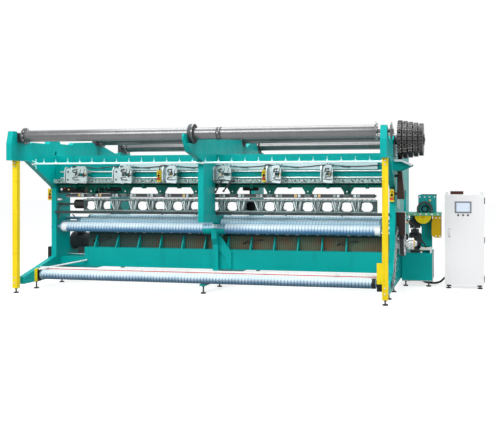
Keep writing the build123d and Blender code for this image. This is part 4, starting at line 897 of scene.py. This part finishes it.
# %% [markdown]
# ## Needle casting
#
# Between the rounded gaps each web carries a fan of bright slanted ribs, which stiffen
# the arms that lift the needles. They are flat bars leaning out from the foot of the
# web, so each is a prism cut from one outline, and no two fans lean quite alike.

# %% Fans on the needle casting
FAN_FOOT_Z, FAN_TOP_Z = 1.25, 1.392
FAN_SPREAD = (-0.07, -0.046, -0.022, 0.004, 0.03, 0.056)
WEBS = [0.152 + 0.304 * k for k in range(-7, 8)]
fan_ribs = []
for number, web in enumerate(WEBS, 1):
    for k, lean in enumerate(FAN_SPREAD):
        wave = 0.01 * math.sin(1.7 * k + 2.3 * number)
        foot = web + lean * 0.45
        head = web + lean * 1.15 + wave
        fan_ribs.append(prism(dull_silver if k % 2 else silver, "Y", [
            (foot - 0.006, FAN_FOOT_Z), (foot + 0.006, FAN_FOOT_Z),
            (head + 0.008, FAN_TOP_Z), (head - 0.006, FAN_TOP_Z)], 0.472 + 0.002 * (k % 3), 0.486))
dark_backs = [prism(arm_metal, "Y", [
    (web - 0.062, 1.247), (web + 0.062, 1.247), (web + 0.08, 1.33), (web + 0.084, 1.397),
    (web - 0.084, 1.397), (web - 0.08, 1.33)], 0.4845, 0.4895) for web in WEBS]
edge_bolts = [bolt_row(dull_silver, 0.007, 0.006, (-2.2, 0.47, 1.41), (2.54, 0.47, 1.41), 64),
    bolt_row(dull_silver, 0.006, 0.005, (-2.2, 0.47, 1.236), (2.54, 0.47, 1.236), 64)]
piece("needle_casting_fans", "needle_carrier", fan_ribs + dark_backs + edge_bolts)
# The needles stand in one dense row of thin blades above the bar.
blade = block(blade_metal, (-0.0022, -0.003, 0), (0.0022, 0.003, 0.018), 0)
piece("needle_blades", "needle_carrier",
    [row(blade, (-2.22, 0.545, 1.4162), (2.56, 0.545, 1.4162), 378)])

# %% [markdown]
# ## Guide bars and hangers
#
# Lead blocks clamp the yarn guides on each bar in pairs, beside every hanger. The
# hangers are dark castings with a rib down the middle and gussets that round the
# window corners.

# %% Guide bar clamps
HANGER_PITCH = 0.608
HANGERS = [HANGER_PITCH * (k - 3.5) for k in range(8)]
BAR_END = 2.62
for bar_name, body, front in (("front", "front_bar", 0.46), ("rear", "rear_bar", 0.62)):
    clamps = []
    for number, hanger in enumerate(HANGERS):
        for side in (-1, 1):
            for step, tone in ((0.128, silver), (0.186, dull_silver if number % 3 else brass)):
                x = hanger + side * step
                if abs(x) < 0.06:
                    continue
                clamps.append(block(tone, (x - 0.02, front - 0.014, 1.462),
                        (x + 0.02, front - 0.0002, 1.5035), 0.004))
                clamps.append(rod(dark_steel, (x, front - 0.015, 1.482), (x, front - 0.01, 1.482),
                        0.008, 6))
    for left, right in zip([-BAR_END, *HANGERS], [*HANGERS, BAR_END]):
        clamps.append(block(bar_metal, (left + 0.075, front - 0.006, 1.4475),
                (right - 0.075, front - 0.0002, 1.5085), 0.002))
    piece(bar_name + "_bar_clamps", body, clamps)

# %% Hanger gussets, ribs and clamp bolts
hanger_parts = []
for hanger in HANGERS:
    for side in (-1, 1):
        hanger_parts.append(prism(dark_green, "Y", [
            (hanger + side * x, z) for x, z in (
                (0.094, 1.672), (0.15, 1.664), (0.136, 1.64), (0.112, 1.618), (0.088, 1.604),
                (0.06, 1.56), (0.05, 1.56), (0.05, 1.64))], 0.548, 0.572))
        hanger_parts.append(rod(dark_steel, (hanger + side * 0.055, 0.512, 1.638),
                (hanger + side * 0.055, 0.53, 1.638), 0.012, 6))
    hanger_parts.append(prism(hanger_paint, "Y", [
        (hanger - 0.012, 1.52), (hanger + 0.012, 1.52), (hanger + 0.02, 1.598),
        (hanger - 0.02, 1.598)], 0.514, 0.531))
    hanger_parts.append(rod(steel, (hanger, 0.5, 1.548), (hanger, 0.516, 1.548), 0.013, 6))
piece("hanger_gussets", "swing_frame", hanger_parts)

# %% [markdown]
# ## Head: rail, brackets, bolts and wires
#
# Thin pins stand above the thread rail. Each pair of rods runs through a pale cast
# bracket. The wide ones have a rounded plate with three holes on their left, and all
# have dark hooked clamps and small wires looping from the cable above.

# %% Rail pins
rail_pins = [row(rod(rail_cyan, (0, 0, 0), (0, 0, 0.05), 0.003, 6), (-2.5625, -0.2, 2.019),
        (2.5625, -0.2, 2.019), 26, uneven=(0.0, 0.35), seed=4)]
rail_pins += [rod(rail_cyan, (-2.7, -0.2, 1.9), (-2.7, -0.2, 2.06), 0.005, 8),
    rod(rail_cyan, (-2.76, -0.214, 2.03), (-2.6, -0.214, 1.975), 0.004, 8)]
for x in (-2.74, -0.06, 0.06, 2.74):
    rail_pins.append(ring(steel, "X", (-0.2, 1.984), x - 0.022, x + 0.022, 0.0132, 0.022, 20))
piece("thread_rail_pins", "machine", rail_pins)

# %% Bracket plates and clamps
BRACKET_SPANS = ((-2.461, -2.088), (-1.615, -1.304), (-0.738, -0.541), (0.103, 0.347),
    (0.986, 1.144), (1.78, 1.948))
ROD_HOOKS = ((1.872, 0.085, dark_steel), (1.752, 0.11, gunmetal))
WIRE_TONES = (rubber, cable_teal, dark_steel)
CLUTTER_TONES = (steel, dark_steel, cable_teal, brass)
bracket_parts = []
wires = []
for number, (left, right) in enumerate(BRACKET_SPANS):
    wide = right - left > 0.25
    split_x = left + (right - left) * (0.42 if wide else 0.12)
    if wide:
        bracket_parts.append(prism(silver, "Y", [
            (left + 0.03, 1.684), (split_x + 0.04, 1.672), (split_x + 0.06, 1.76),
            (split_x + 0.05, 1.88), (split_x, 1.925), (left + 0.03, 1.915), (left + 0.006, 1.9),
            (left, 1.88), (left, 1.715), (left + 0.008, 1.694)], 0.288, 0.299))
        for x, z in ((left + 0.042, 1.862), (left + 0.036, 1.735), (split_x + 0.012, 1.895)):
            bracket_parts.append(disc(silver, "Y", (x, z), 0.283, 0.288, 0.024))
            bracket_parts.append(disc(black, "Y", (x, z), 0.281, 0.2835, 0.015))
    span = right - split_x
    bracket_parts += [
        prism(silver, "Y", [
            (split_x, 1.838), (right, 1.838), (right, 1.905), (right - 0.03, 1.95),
            (split_x + 0.05, 1.955), (split_x + 0.01, 1.92)], 0.27, 0.3),
        prism(silver, "Y", [
            (split_x, 1.69), (right - 0.015, 1.676), (right, 1.7), (right, 1.792),
            (split_x, 1.792)], 0.27, 0.3),
        block(dull_silver, (split_x + 0.01, 0.299, 1.842), (right - 0.02, 0.456, 1.898), 0.006),
        block(dull_silver, (split_x + 0.01, 0.299, 1.702), (right - 0.02, 0.456, 1.788), 0.006),
        block(silver, (split_x + 0.004, 0.288, 1.78), (split_x + span * 0.3, 0.34, 1.85),
            0.004),
        block(dull_silver, (right - span * 0.22, 0.292, 1.78), (right - 0.006, 0.33, 1.85),
            0.004),
    ]
    hook = left + (0.13 if wide else 0.045)
    for rod_z, reach, seat in ROD_HOOKS:
        bracket_parts.append(hose(seat, [
            (hook + reach, 0.262, rod_z - 0.02), (hook + 0.03, 0.258, rod_z - 0.024),
            (hook, 0.256, rod_z), (hook + 0.02, 0.256, rod_z + 0.026),
            (hook + reach * 0.8, 0.262, rod_z + 0.024)], 0.0075, 2))
    if wide:
        bracket_parts.append(prism(dark_steel, "Y", [
            (right - 0.075, 1.8), (right - 0.045, 1.77), (right - 0.015, 1.806),
            (right - 0.047, 1.84)], 0.258, 0.27))
    for k in range(5):
        x = split_x + span * (0.1 + 0.19 * k)
        z = 1.7 + 0.018 * ((3 * k + number) % 3)
        bracket_parts.append(disc((dark_steel, steel)[k % 2], "Y", (x, z), 0.262, 0.27, 0.007, 8))
    for k in range(4):
        x = split_x + span * (0.18 + 0.21 * k)
        z = 1.812 + 0.016 * math.sin(2.1 * k + number)
        bracket_parts.append(rod(CLUTTER_TONES[(k + number) % 4],
                (x, 0.272, z - 0.022), (x + 0.02, 0.282, z + 0.024), 0.007, 8))
    for k in range(3):
        x = split_x + span * (0.15 + 0.3 * k)
        wires.append(hose(WIRE_TONES[(k + number) % 3], [
            (x, 0.43, 1.955), (x + 0.02, 0.4, 1.985 - 0.01 * k), (x + 0.05, 0.34, 1.965),
            (x + 0.03, 0.28, 1.93), (x + 0.012, 0.262, 1.88), (x, 0.262, 1.84 - 0.03 * k)],
            0.0042, 2))
    wires.append(hose(cable_teal, [
        (right - 0.01, 0.27, 1.93), (right + 0.05, 0.29, 1.945), (right + 0.11, 0.33, 1.93),
        (right + 0.17, 0.4, 1.915), (right + 0.24, 0.442, 1.915)], 0.006, 2))
piece("bracket_clamps", "machine", bracket_parts)
piece("head_wires", "machine", wires)

# %% Rail bolts and clutter under the rods
rail_bolts = [
    bolt_row(dark_steel, 0.0085, 0.009, (-2.7, 0.445, 1.73), (2.7, 0.445, 1.73), 88,
        uneven=(0.0, 0.5), seed=7),
    bolt_row(dark_steel, 0.007, 0.008, (-2.68, 0.445, 1.697), (2.68, 0.445, 1.697), 74,
        uneven=(0.0, 0.4), seed=9),
    row(block(steel, (-0.022, -0.012, -0.01), (0.022, 0, 0.01), 0.003), (-2.45, 0.445, 1.713),
        (2.62, 0.445, 1.713), 31, uneven=(0.0, 0.5), seed=3),
    block(dark_green, (-2.74, 0.604, 1.618), (2.74, 0.616, 1.6795), 0.002),
]
piece("bolt_rail_fittings", "machine", rail_bolts)

# %% Head levers
lever_parts = []
for x0, z0, x1, z1 in ((0.212, 1.727, 0.115, 1.549), (0.358, 1.712, 0.245, 1.565)):
    lever_parts += [
        rod(rubber, (x0, 0.255, z0), (x1, 0.25, z1), 0.013, 12),
        rod(dark_steel, (x0, 0.255, z0), (x0 + 0.055, 0.262, z0 - 0.006), 0.011, 12),
        rod(rubber, (x1, 0.25, z1), (x1 - 0.012, 0.249, z1 - 0.022), 0.017, 12),
        rod(dark_steel, (x0, 0.242, z0), (x0, 0.436, z0), 0.015, 12),
    ]
lever_parts += [rod(dark_steel, (0.09, 0.262, 1.722), (0.42, 0.262, 1.716), 0.007, 8)]
piece("head_levers", "machine", lever_parts)

# %% [markdown]
# ## Push-button boxes
#
# Each yellow box has a lid with a raised rim, three buttons in a column and a cable
# gland on top. The lowest button is the one that moves, so the other two and their
# collars are dressed here.

# %% Button box fronts
BUTTON_BOXES = (
    (-2.897, 0.534, 1.395, 1.59), (-0.868, 0.33, 1.7, 1.885),
    (0.862, 0.33, 1.7, 1.885), (2.815, 0.436, 1.4, 1.585))
box_parts = []
for x, face, low, high in BUTTON_BOXES:
    box_parts.append(
        ring(dark_steel, "Y", (x, low + 0.05), face - 0.004, face, 0.0235, 0.0285, 24))
    for z, tone in ((low + 0.1, black), (low + 0.148, golden)):
        box_parts.append(disc(dark_steel, "Y", (x, z), face - 0.004, face, 0.021))
        box_parts.append(disc(tone, "Y", (x, z), face - 0.013, face - 0.004, 0.015))
    box_parts.append(rod(rubber, (x, face + 0.05, high), (x, face + 0.05, high + 0.03), 0.014))
    for side in (-1, 1):
        for z in (low + 0.012, high - 0.012):
            box_parts.append(disc(steel, "Y", (x + side * 0.024, z), face - 0.002, face, 0.0045, 8,
                    0.0008))
    box_parts.append(block(yellow, (x - 0.03, face - 0.0018, low + 0.003),
            (x + 0.03, face + 0.001, low + 0.02), 0.0008))
piece("button_box_fronts", "machine", box_parts)
box_wires = [hose(rubber, [
    (x, 0.38, 1.91), (x, 0.38, 1.95), (x + 0.018, 0.4, 1.972), (x + 0.068, 0.43, 1.966),
    (x + 0.128, 0.434, 1.955)], 0.006, 2) for x in (-0.868, 0.862)]
box_wires.append(hose(rubber, [(-2.897, 0.584, 1.61), (-2.897, 0.59, 1.72), (-2.885, 0.6, 1.8),
    (-2.865, 0.61, 1.84)], 0.006, 2))
piece("button_box_wires", "machine", box_wires)

# %% [markdown]
# ## Warp beams
#
# The tubes carry end flanges with a ring of bolts, and split collars hold their middle
# joint. One strap is clamped round the front tube.

# %% Beam flange bolts, strap and collar bolts
BEAMS = (("front", -0.5, 2.396), ("middle", 2.000, 2.474), ("rear", 3.05, 2.392))
for name, y, z in BEAMS:
    studs = bolt(steel, 0.01, 0.01, "X")
    ring_parts = [repeat(studs, circle_path(x, y, z, 0.108), 10, closed=True)
        for x in (-2.678, 2.7002)]
    for x in (-2.3, -1.15, 1.2, 2.35):
        ring_parts.append(turned(gunmetal, "X", (y, z), [
            (x - 0.004, 0.0876), (x - 0.002, 0.0885), (x + 0.002, 0.0885), (x + 0.004, 0.0876)],
            48, closed=True))
    if name == "front":
        for x in (0.405, 0.45):
            ring_parts.append(
                ring(dark_steel, "X", (y, z), x - 0.012, x + 0.012, 0.0876, 0.0925, 48))
        ring_parts.append(block(dark_steel, (0.392, -0.605, 2.372), (0.463, -0.586, 2.42), 0.004))
        ring_parts.append(rod(steel, (0.427, -0.618, 2.396), (0.427, -0.6, 2.396), 0.009, 6))
    piece(name + "_beam_fittings", name + "_beam", ring_parts)
collar_bolts = []
for name, y, z in BEAMS:
    collar_bolts.append(bolt_ring(dark_steel, 0.01, 0.008, (0.052, y, z, 0.115), 12))
    collar_bolts.append(turned(gunmetal, "X", (y, z), [
        (0.0515, 0.128), (0.0515, 0.1425), (0.045, 0.1445), (0.034, 0.1445), (0.034, 0.1405),
        (0.046, 0.128)], 48, closed=True))
    for side in (-1, 1):
        x = side * 2.814
        for dy in (-0.055, 0.055):
            collar_bolts.append(rod(steel, (x, y + dy, z + 0.02), (x, y + dy, z + 0.062),
                    0.012, 6))
piece("collar_bolts", "machine", collar_bolts)

# %% [markdown]
# ## Pattern drum
#
# Each track of the drum carries a chain of plain link plates on cross pins. Oil has
# darkened the plates, and the pins stay bright where the followers run on them.

# %% Chain links on the pattern drum
DRUM = (0.45, 2.325)
TRACK_START, TRACK_PITCH, LINKS = 2.912, 0.078, 34
link_parts = []
for track in range(5):
    x0 = TRACK_START + TRACK_PITCH * track
    outer = 0.215 - 0.013 * track + 0.077
    pin = rod(link_metal, (-0.028, 0, 0), (0.028, 0, 0), 0.0058, 8)
    link_parts.append(repeat(pin, circle_path(x0 + 0.03, *DRUM, outer - 0.01), LINKS, follow=1.0,
            closed=True, uneven=(0.0, 0.12), seed=track + 2))
    for dx, tone, seed in ((0.006, link_metal, 11), (0.03, dark_steel, 13), (0.054, steel, 17)):
        plate = prism(tone, "X", [(-0.016, -0.007), (-0.01, -0.011), (0.01, -0.011),
                (0.016, -0.007), (0.016, 0.004), (0.01, 0.009),
                (-0.01, 0.009), (-0.016, 0.004)], -0.003, 0.003)
        link_parts.append(repeat(plate, circle_path(x0 + dx, *DRUM, outer - 0.014), LINKS,
                follow=1.0, closed=True, uneven=(0.12, 0.15),
                seed=seed + track))
piece("pattern_chain_links", "drum", link_parts)

# %% Links of the cloth roll chain
chain_path = []
slope = math.atan2(LOWER[1] - CLOTH[1], LOWER[0] - CLOTH[0])
for centre, start in ((LOWER, slope - math.pi / 2), (CLOTH, slope + math.pi / 2)):
    for k in range(13):
        turn_at = start + math.pi * k / 12
        chain_path.append((2.886, centre[0] + 0.064 * math.cos(turn_at),
                centre[1] + 0.064 * math.sin(turn_at)))
side_plate = prism(steel, "X", [(-0.013, -0.0045), (0.013, -0.0045), (0.013, 0.0045),
        (-0.013, 0.0045)], -0.0085, 0.0085)
piece("roll_chain_links", "machine",
    [repeat(side_plate, chain_path, 74, follow=1.0, closed=True)])

# %% [markdown]
# ## Drive end
#
# The pulley, clutch and motor stand open on the drive base: bolted rims, an air hose to
# the clutch, brass unions, a terminal box on the motor and its cooling slots.

# %% Pulley, clutch and belt details
SHAFT = (0.945, 0.74)
FRAME_FACE = 2.858
drive_turning = [
    bolt_ring(steel, 0.009, 0.008, (2.975, *SHAFT, 0.176), 12),
    bolt_ring(brass, 0.006, 0.007, (3.109, *SHAFT, 0.075), 8),
    ring(brass, "X", SHAFT, 3.111, 3.126, 0.046, 0.058, 28),
]
piece("clutch_bolts", "drive_shaft", drive_turning)
drive_parts = [
    hose(rubber, [(3.27, 1.5, 0.64), (3.27, 1.44, 0.66), (3.22, 1.36, 0.74), (3.14, 1.3, 0.92),
        (3.05, 1.28, 1.04), (2.94, 1.26, 1.1), (2.862, 1.25, 1.12)], 0.012),
    hose(dark_steel, [(3.2, 1.5, 0.585), (3.18, 1.42, 0.58), (3.08, 1.36, 0.62),
        (2.98, 1.34, 0.78), (2.9, 1.33, 0.9), (2.86, 1.32, 0.93)], 0.01),
    hose(cable_teal, [(3.06, 1.49, 1.13), (3.06, 1.4, 1.13), (2.98, 1.34, 1.1),
        (2.9, 1.3, 1.02), (2.86, 1.29, 0.98)], 0.009),
    rod(brass, (3.27, 1.495, 0.63), (3.27, 1.52, 0.628), 0.017, 6),
    rod(brass, (3.2, 1.495, 0.592), (3.2, 1.52, 0.592), 0.015, 6),
    rod(steel, (FRAME_FACE, 1.25, 1.12), (2.88, 1.25, 1.12), 0.02, 12),
    rod(steel, (FRAME_FACE, 1.32, 0.93), (2.88, 1.32, 0.93), 0.018, 12),
    block(black, (2.8585, 0.78, 0.955), (2.945, 0.93, 1.075), 0.008),
    block(steel, (2.8585, 0.8, 1.085), (2.905, 0.9, 1.165), 0.005),
    disc(brass, "Y", (2.905, 1.015), 0.77, 0.781, 0.02),
    disc(steel, "Y", (2.885, 1.125), 0.79, 0.801, 0.016),
    rod(dark_steel, (2.88, 0.72, 1.19), (2.88, 1.2, 1.19), 0.014),
    rod(steel, (FRAME_FACE, 1.1, 1.06), (2.985, 1.1, 1.06), 0.026, 18),
    rod(brass, (2.985, 1.1, 1.06), (3.02, 1.1, 1.06), 0.012, 12),
    turned(steel, "X", SHAFT, [(2.8585, 0.036), (2.8585, 0.085), (2.885, 0.08), (2.885, 0.036)],
        36, closed=True),
    bolt_ring(dark_steel, 0.009, 0.01, (2.884, *SHAFT, 0.066), 6),
]
MOTOR = (1.65, 0.735)
drive_parts += [
    block(grey, (3.03, 1.56, 0.862), (3.13, 1.7, 0.935), 0.008),
    bolt_row(steel, 0.006, 0.005, (3.045, 1.56, 0.925), (3.115, 1.56, 0.925), 2),
    turned(dark_steel, "X", MOTOR, [(3.1752, 0.03), (3.1752, 0.118), (3.184, 0.112),
        (3.184, 0.03)], 36, closed=True),
    repeat(prism(black, "X", [(-0.004, -0.03), (0.004, -0.03), (0.004, 0.03),
        (-0.004, 0.03)], 0, 0.01),
        circle_path(3.1755, *MOTOR, 0.078), 18, follow=1.0, closed=True),
]
piece("drive_fittings", "machine", drive_parts)

# %% Guards, gearbox and column fittings
ARCH = (3.25, 1.26)
arch_parts = []
for radius, width, tone in ((0.085, 0.01, teal), (0.06, 0.014, black), (0.034, 0.02, teal)):
    arch_parts.append(ring(tone, "Y", ARCH, 1.5 - width, 1.53, radius - 0.022, radius, 36))
arch_parts += [
    disc(dark_steel, "Y", ARCH, 1.47, 1.5, 0.016),
    block(dark_steel, (3.14, 1.53, 1.2005), (3.36, 1.56, 1.3), 0.006),
    bolt_row(steel, 0.008, 0.008, (3.376, 1.44, 1.12), (3.49, 1.44, 1.12), 3),
    bolt_row(steel, 0.008, 0.008, (3.43, 1.44, 0.825), (3.49, 1.44, 0.825), 2),
    bolt_row(steel, 0.009, 0.009, (3.165, 1.56, 1.455), (3.4, 1.56, 1.455), 4),
    bolt_row(dark_steel, 0.01, 0.01, (3.03, 1.494, 1.14), (3.16, 1.494, 1.14), 3),
    bolt_row(steel, 0.01, 0.01, (2.9, 1.42, 1.178), (3.46, 1.42, 1.178), 7),
    disc(brass, "Y", (3.33, 1.4), 1.548, 1.561, 0.018),
    disc(golden, "Y", (3.225, 1.142), 1.4225, 1.4285, 0.03),
    disc(dark_steel, "Y", (3.14, 1.13), 1.4235, 1.4285, 0.007),
]
piece("drive_end_fittings", "machine", arch_parts)

# %% [markdown]
# ## Trough, take-up drive and handwheel
#
# A dark back plate closes the trough behind the sheet covers, and white clips hold their
# top edge. The take-up motor at the left has a terminal box and a bright rod below it.

# %% Trough clips and take-up fittings
clip = block(white, (-0.03, -0.007, -0.009), (0.03, 0.003, 0.008), 0.002)
trough_parts = [
    row(clip, (-1.8, 0.798, 0.862), (-0.2, 0.798, 0.862), 11, uneven=(0.0, 0.6), seed=6),
    row(clip, (0.3, 0.798, 0.862), (2.6, 0.798, 0.862), 15, uneven=(0.0, 0.6), seed=8),
    block(slats_back, (-2.318, 0.8005, 0.8), (-0.052, 0.811, 0.893), 0.002),
    block(slats_back, (0.052, 0.8005, 0.8), (2.762, 0.811, 0.893), 0.002),
    row(block(slats_back, (-0.006, -0.004, -0.035), (0.006, 0.002, 0.035), 0.001),
        (-2.26, 0.8005, 0.856), (2.7, 0.8005, 0.856), 66),
]
for x in (-2.23, 0.4, 1.93):
    trough_parts.append(hose(dark_steel, [
        (x, 0.78, 0.7), (x + 0.05, 0.74, 0.76), (x + 0.16, 0.72, 0.72), (x + 0.26, 0.74, 0.78),
        (x + 0.33, 0.786, 0.76)], 0.008, 2))
piece("trough_clips", "machine", trough_parts)
TAKE_UP = (1.11, 0.69)
take_up = [
    block(grey, (-2.66, 1.000, 0.815), (-2.54, 1.11, 0.872), 0.008),
    rod(steel, (-2.765, 0.88, 0.475), (-2.34, 0.88, 0.475), 0.016, 14),
    rod(steel, (-2.41, 1.11, 0.69), (-2.33, 1.11, 0.69), 0.03, 18),
    disc(steel, "X", TAKE_UP, -2.42, -2.412, 0.06, 28),
    bolt_ring(steel, 0.009, 0.01, (-2.42, *TAKE_UP, 0.1), 8),
    hose(rubber, [(-2.6, 1.02, 0.872), (-2.6, 1.02, 0.93), (-2.64, 1.03, 1.02),
        (-2.71, 1.04, 1.1), (-2.765, 1.04, 1.14)], 0.01),
    rod(white, (-2.7, -0.12, 0.318), (-2.28, 0.64, 0.4), 0.013, 12),
    block(black, (-2.3, 0.652, 0.452), (-2.16, 0.78, 0.614), 0.006),
]
piece("take_up_fittings", "machine", take_up)
HANDWHEEL = (0.6, 1.335)
wheel_parts = [
    turned(rubber, "X", HANDWHEEL, [(-2.46, 0.018), (-2.46, 0.05), (-2.452, 0.058),
        (-2.452, 0.018)], 28, closed=True),
    repeat(block(rubber, (-0.088, -0.004, -0.003), (0.088, 0.004, 0.0015), 0.001),
        circle_path(-2.365, *HANDWHEEL, 0.0725), 22, follow=1.0, closed=True),
    rod(brass, (-2.274, *HANDWHEEL), (-2.262, *HANDWHEEL), 0.014, 6),
]
piece("handwheel_grip", "wheel", wheel_parts)

# %% [markdown]
# ## Control cabinet
#
# The cabinet is a folded sheet box. Its door has a gasket shadow, a grey touch screen
# with a pale lit display, ringed knobs and a lever handle, and the sides are louvred.

# %% Cabinet door, sides and roof
door_parts = [
    prism(display, "Y", [(3.752, 1.228), (3.96, 1.228), (3.96, 1.366), (3.752, 1.366)],
        1.3435, 1.346),
    prism(screen_paint, "Y", [(3.752, 1.214), (3.96, 1.214), (3.96, 1.224), (3.752, 1.224)],
        1.3425, 1.345),
    block(screen_paint, (3.632, 1.345, 0.815), (3.652, 1.3505, 0.96), 0.002),
]
for x in (3.78, 3.856, 3.932):
    door_parts.append(turned(steel, "Y", (x, 1.172), [
        (1.3455, 0.0145), (1.3455, 0.0195), (1.35, 0.0205), (1.35, 0.0145)], 28,
        closed=True))
piece("door_fittings", "door", door_parts)
louvre = prism(shell_paint, "Z", [(0, -0.07), (0.006, -0.066), (0.006, 0.066), (0, 0.07)],
    0, 0.007)
shell_parts = [row(louvre, (4.1805, 1.55, 0.3), (4.1805, 1.55, 0.58), 12),
    row(louvre, (4.1805, 1.55, 1.1), (4.1805, 1.55, 1.3), 9)]
for z in (0.16, 0.78, 1.4):
    shell_parts.append(rod(dark_steel, (4.189, 1.349, z - 0.05), (4.189, 1.349, z + 0.05), 0.006,
            12))
shell_parts += [
    # Painted shadow: a thin dark sheet behind the door's edges stands in for the shade in the gap round the
    # door.
    prism(dark_steel, "Z", [(3.576, 1.3722), (4.174, 1.3722), (4.174, 1.3738), (3.576, 1.3738)],
        0.075, 1.492),
    row(disc(steel, "Y", (0, 0), -0.006, 0, 0.012), (3.6, 1.75, 1.46), (4.15, 1.75, 1.46), 2),
]
for x in (3.6, 4.15):
    for y in (1.39, 1.72):
        shell_parts.append(ring(steel, "Y", (x, 1.517), y - 0.005, y + 0.005, 0.011, 0.019, 20))
        shell_parts.append(rod(steel, (x, y, 1.4995), (x, y, 1.503), 0.016, 16))
shell_parts.append(hose(rubber, [(3.6, 1.72, 0.16), (3.56, 1.73, 0.13), (3.5, 1.74, 0.06),
        (3.42, 1.76, 0.03), (3.3, 1.78, 0.03), (3.2, 1.8, 0.05),
        (3.16, 1.82, 0.1)], 0.018))
piece("cabinet_fittings", "machine", shell_parts)

# %% [markdown]
# ## Frame bolts
#
# The beams are bolted through the end frames and the middle frame. The heads on the end
# frames sit in pairs of columns at each joint, seen best from the sides.

# %% Frame bolts
frame_parts = []
JOINTS = ((0.545, 1.79, 2.09, 5), (0.755, 1.79, 2.09, 5), (0.7, 0.34, 0.58, 4),
    (1.000, 0.34, 0.58, 4), (2.79, 0.34, 0.49, 3), (2.91, 0.34, 0.49, 3),
    (2.79, 1.9, 2.04, 3), (2.91, 1.9, 2.04, 3))
for y, low, high, count in JOINTS:
    for x in (FRAME_FACE, -FRAME_FACE):
        head = bolt(steel, 0.013, 0.01, "X")
        if x < 0:
            for vert in head.vertices:
                vert.co.x = -vert.co.x
            head.flip_normals()
        frame_parts.append(row(head, (x, y, low), (x, y, high), count))
for y, z in (LOWER, MIDDLE, UPPER):
    for side in (-1, 1):
        low, high = sorted((side * 2.8582, side * 2.872))
        frame_parts.append(ring(grey, "X", (y, z), low, high, 0.025, 0.047, 28))
for x in (-2.82, 2.82):
    for z in (0.16, 0.24, 1.93, 1.985):
        frame_parts.append(rod(steel, (x, -0.598, z), (x, -0.589, z), 0.012, 6))
    for z in (0.6, 1.2, 1.7):
        frame_parts.append(block(
            golden, (x - 0.0405, -0.5905, z), (x + 0.0405, -0.5095, z + 0.004), 0.0003))
piece("frame_bolts", "machine", frame_parts)

# %% [markdown]
# ## Inside the left frame and behind the castings
#
# The swing drive of the guide bars fills the left end of the head with dark boxes,
# levers and oil pipes. Two small black actuators hang behind the needle casting.

# %% Swing drive and actuators
inner_parts = [
    block(dark_green, (-2.765, 0.625, 1.512), (-2.02, 0.7, 1.672), 0.012),
    block(dark_green, (-2.02, 0.64, 1.512), (-1.64, 0.69, 1.6), 0.01),
    block(black, (-2.7, 0.56, 1.545), (-2.42, 0.624, 1.628), 0.01),
    block(black, (-1.93, 0.6, 1.56), (-1.64, 0.65, 1.618), 0.008),
    block(golden, (-1.638, 0.606, 1.566), (-1.59, 0.64, 1.612), 0.006),
    block(dark_steel, (-2.3, 0.59, 1.53), (-2.12, 0.64, 1.6), 0.008),
    rod(dark_steel, (-2.765, 0.59, 1.53), (-1.7, 0.59, 1.53), 0.011),
    rod(steel, (-2.69, 0.548, 1.58), (-2.69, 0.56, 1.58), 0.02, 18),
    rod(brass, (-2.56, 0.548, 1.575), (-2.56, 0.56, 1.575), 0.014, 6),
    rod(red, (-2.64, 0.55, 1.6), (-2.64, 0.56, 1.6), 0.009, 12),
    hose(black, [(-2.765, 0.6, 1.7), (-2.65, 0.57, 1.68), (-2.52, 0.55, 1.66),
        (-2.44, 0.55, 1.6), (-2.38, 0.57, 1.55), (-2.28, 0.6, 1.54)], 0.01, 2),
    hose(rubber, [(-2.765, 0.53, 1.72), (-2.72, 0.5, 1.77), (-2.62, 0.49, 1.76),
        (-2.54, 0.5, 1.7), (-2.5, 0.53, 1.64), (-2.48, 0.56, 1.61)], 0.007, 2),
    block(black, (0.475, 0.668, 1.232), (0.625, 0.735, 1.395), 0.01),
    block(black, (0.43, 0.625, 1.56), (0.69, 0.69, 1.64), 0.012),
    rod(dark_steel, (0.55, 0.7, 1.395), (0.55, 0.67, 1.56), 0.014),
    block(white, (-2.768, 0.55, 1.395), (-2.7, 0.6, 1.425), 0.004),
    rod(dark_steel, (-2.745, 0.56, 1.06), (-2.745, 0.56, 1.3), 0.008),
    rod(dark_steel, (-2.745, 0.56, 1.3), (-2.56, 0.56, 1.305), 0.007),
]
for k in range(9):
    x = -2.36 + 0.075 * k
    inner_parts.append(rod((dark_steel, steel, black)[k % 3], (x, 0.618, 1.53 + 0.012 * (k % 4)),
            (x + 0.02, 0.612, 1.61 + 0.01 * (k % 3)), 0.008, 8))
piece("swing_drive", "machine", inner_parts)
tray_lip = prism(white, "Y", [(2.872, 2.024), (2.975, 2.024), (3.129, 1.951), (3.129, 1.922),
        (2.975, 1.994), (2.872, 1.994)], 0.2255, 0.23)
piece("tray_lip", "machine", [tray_lip])
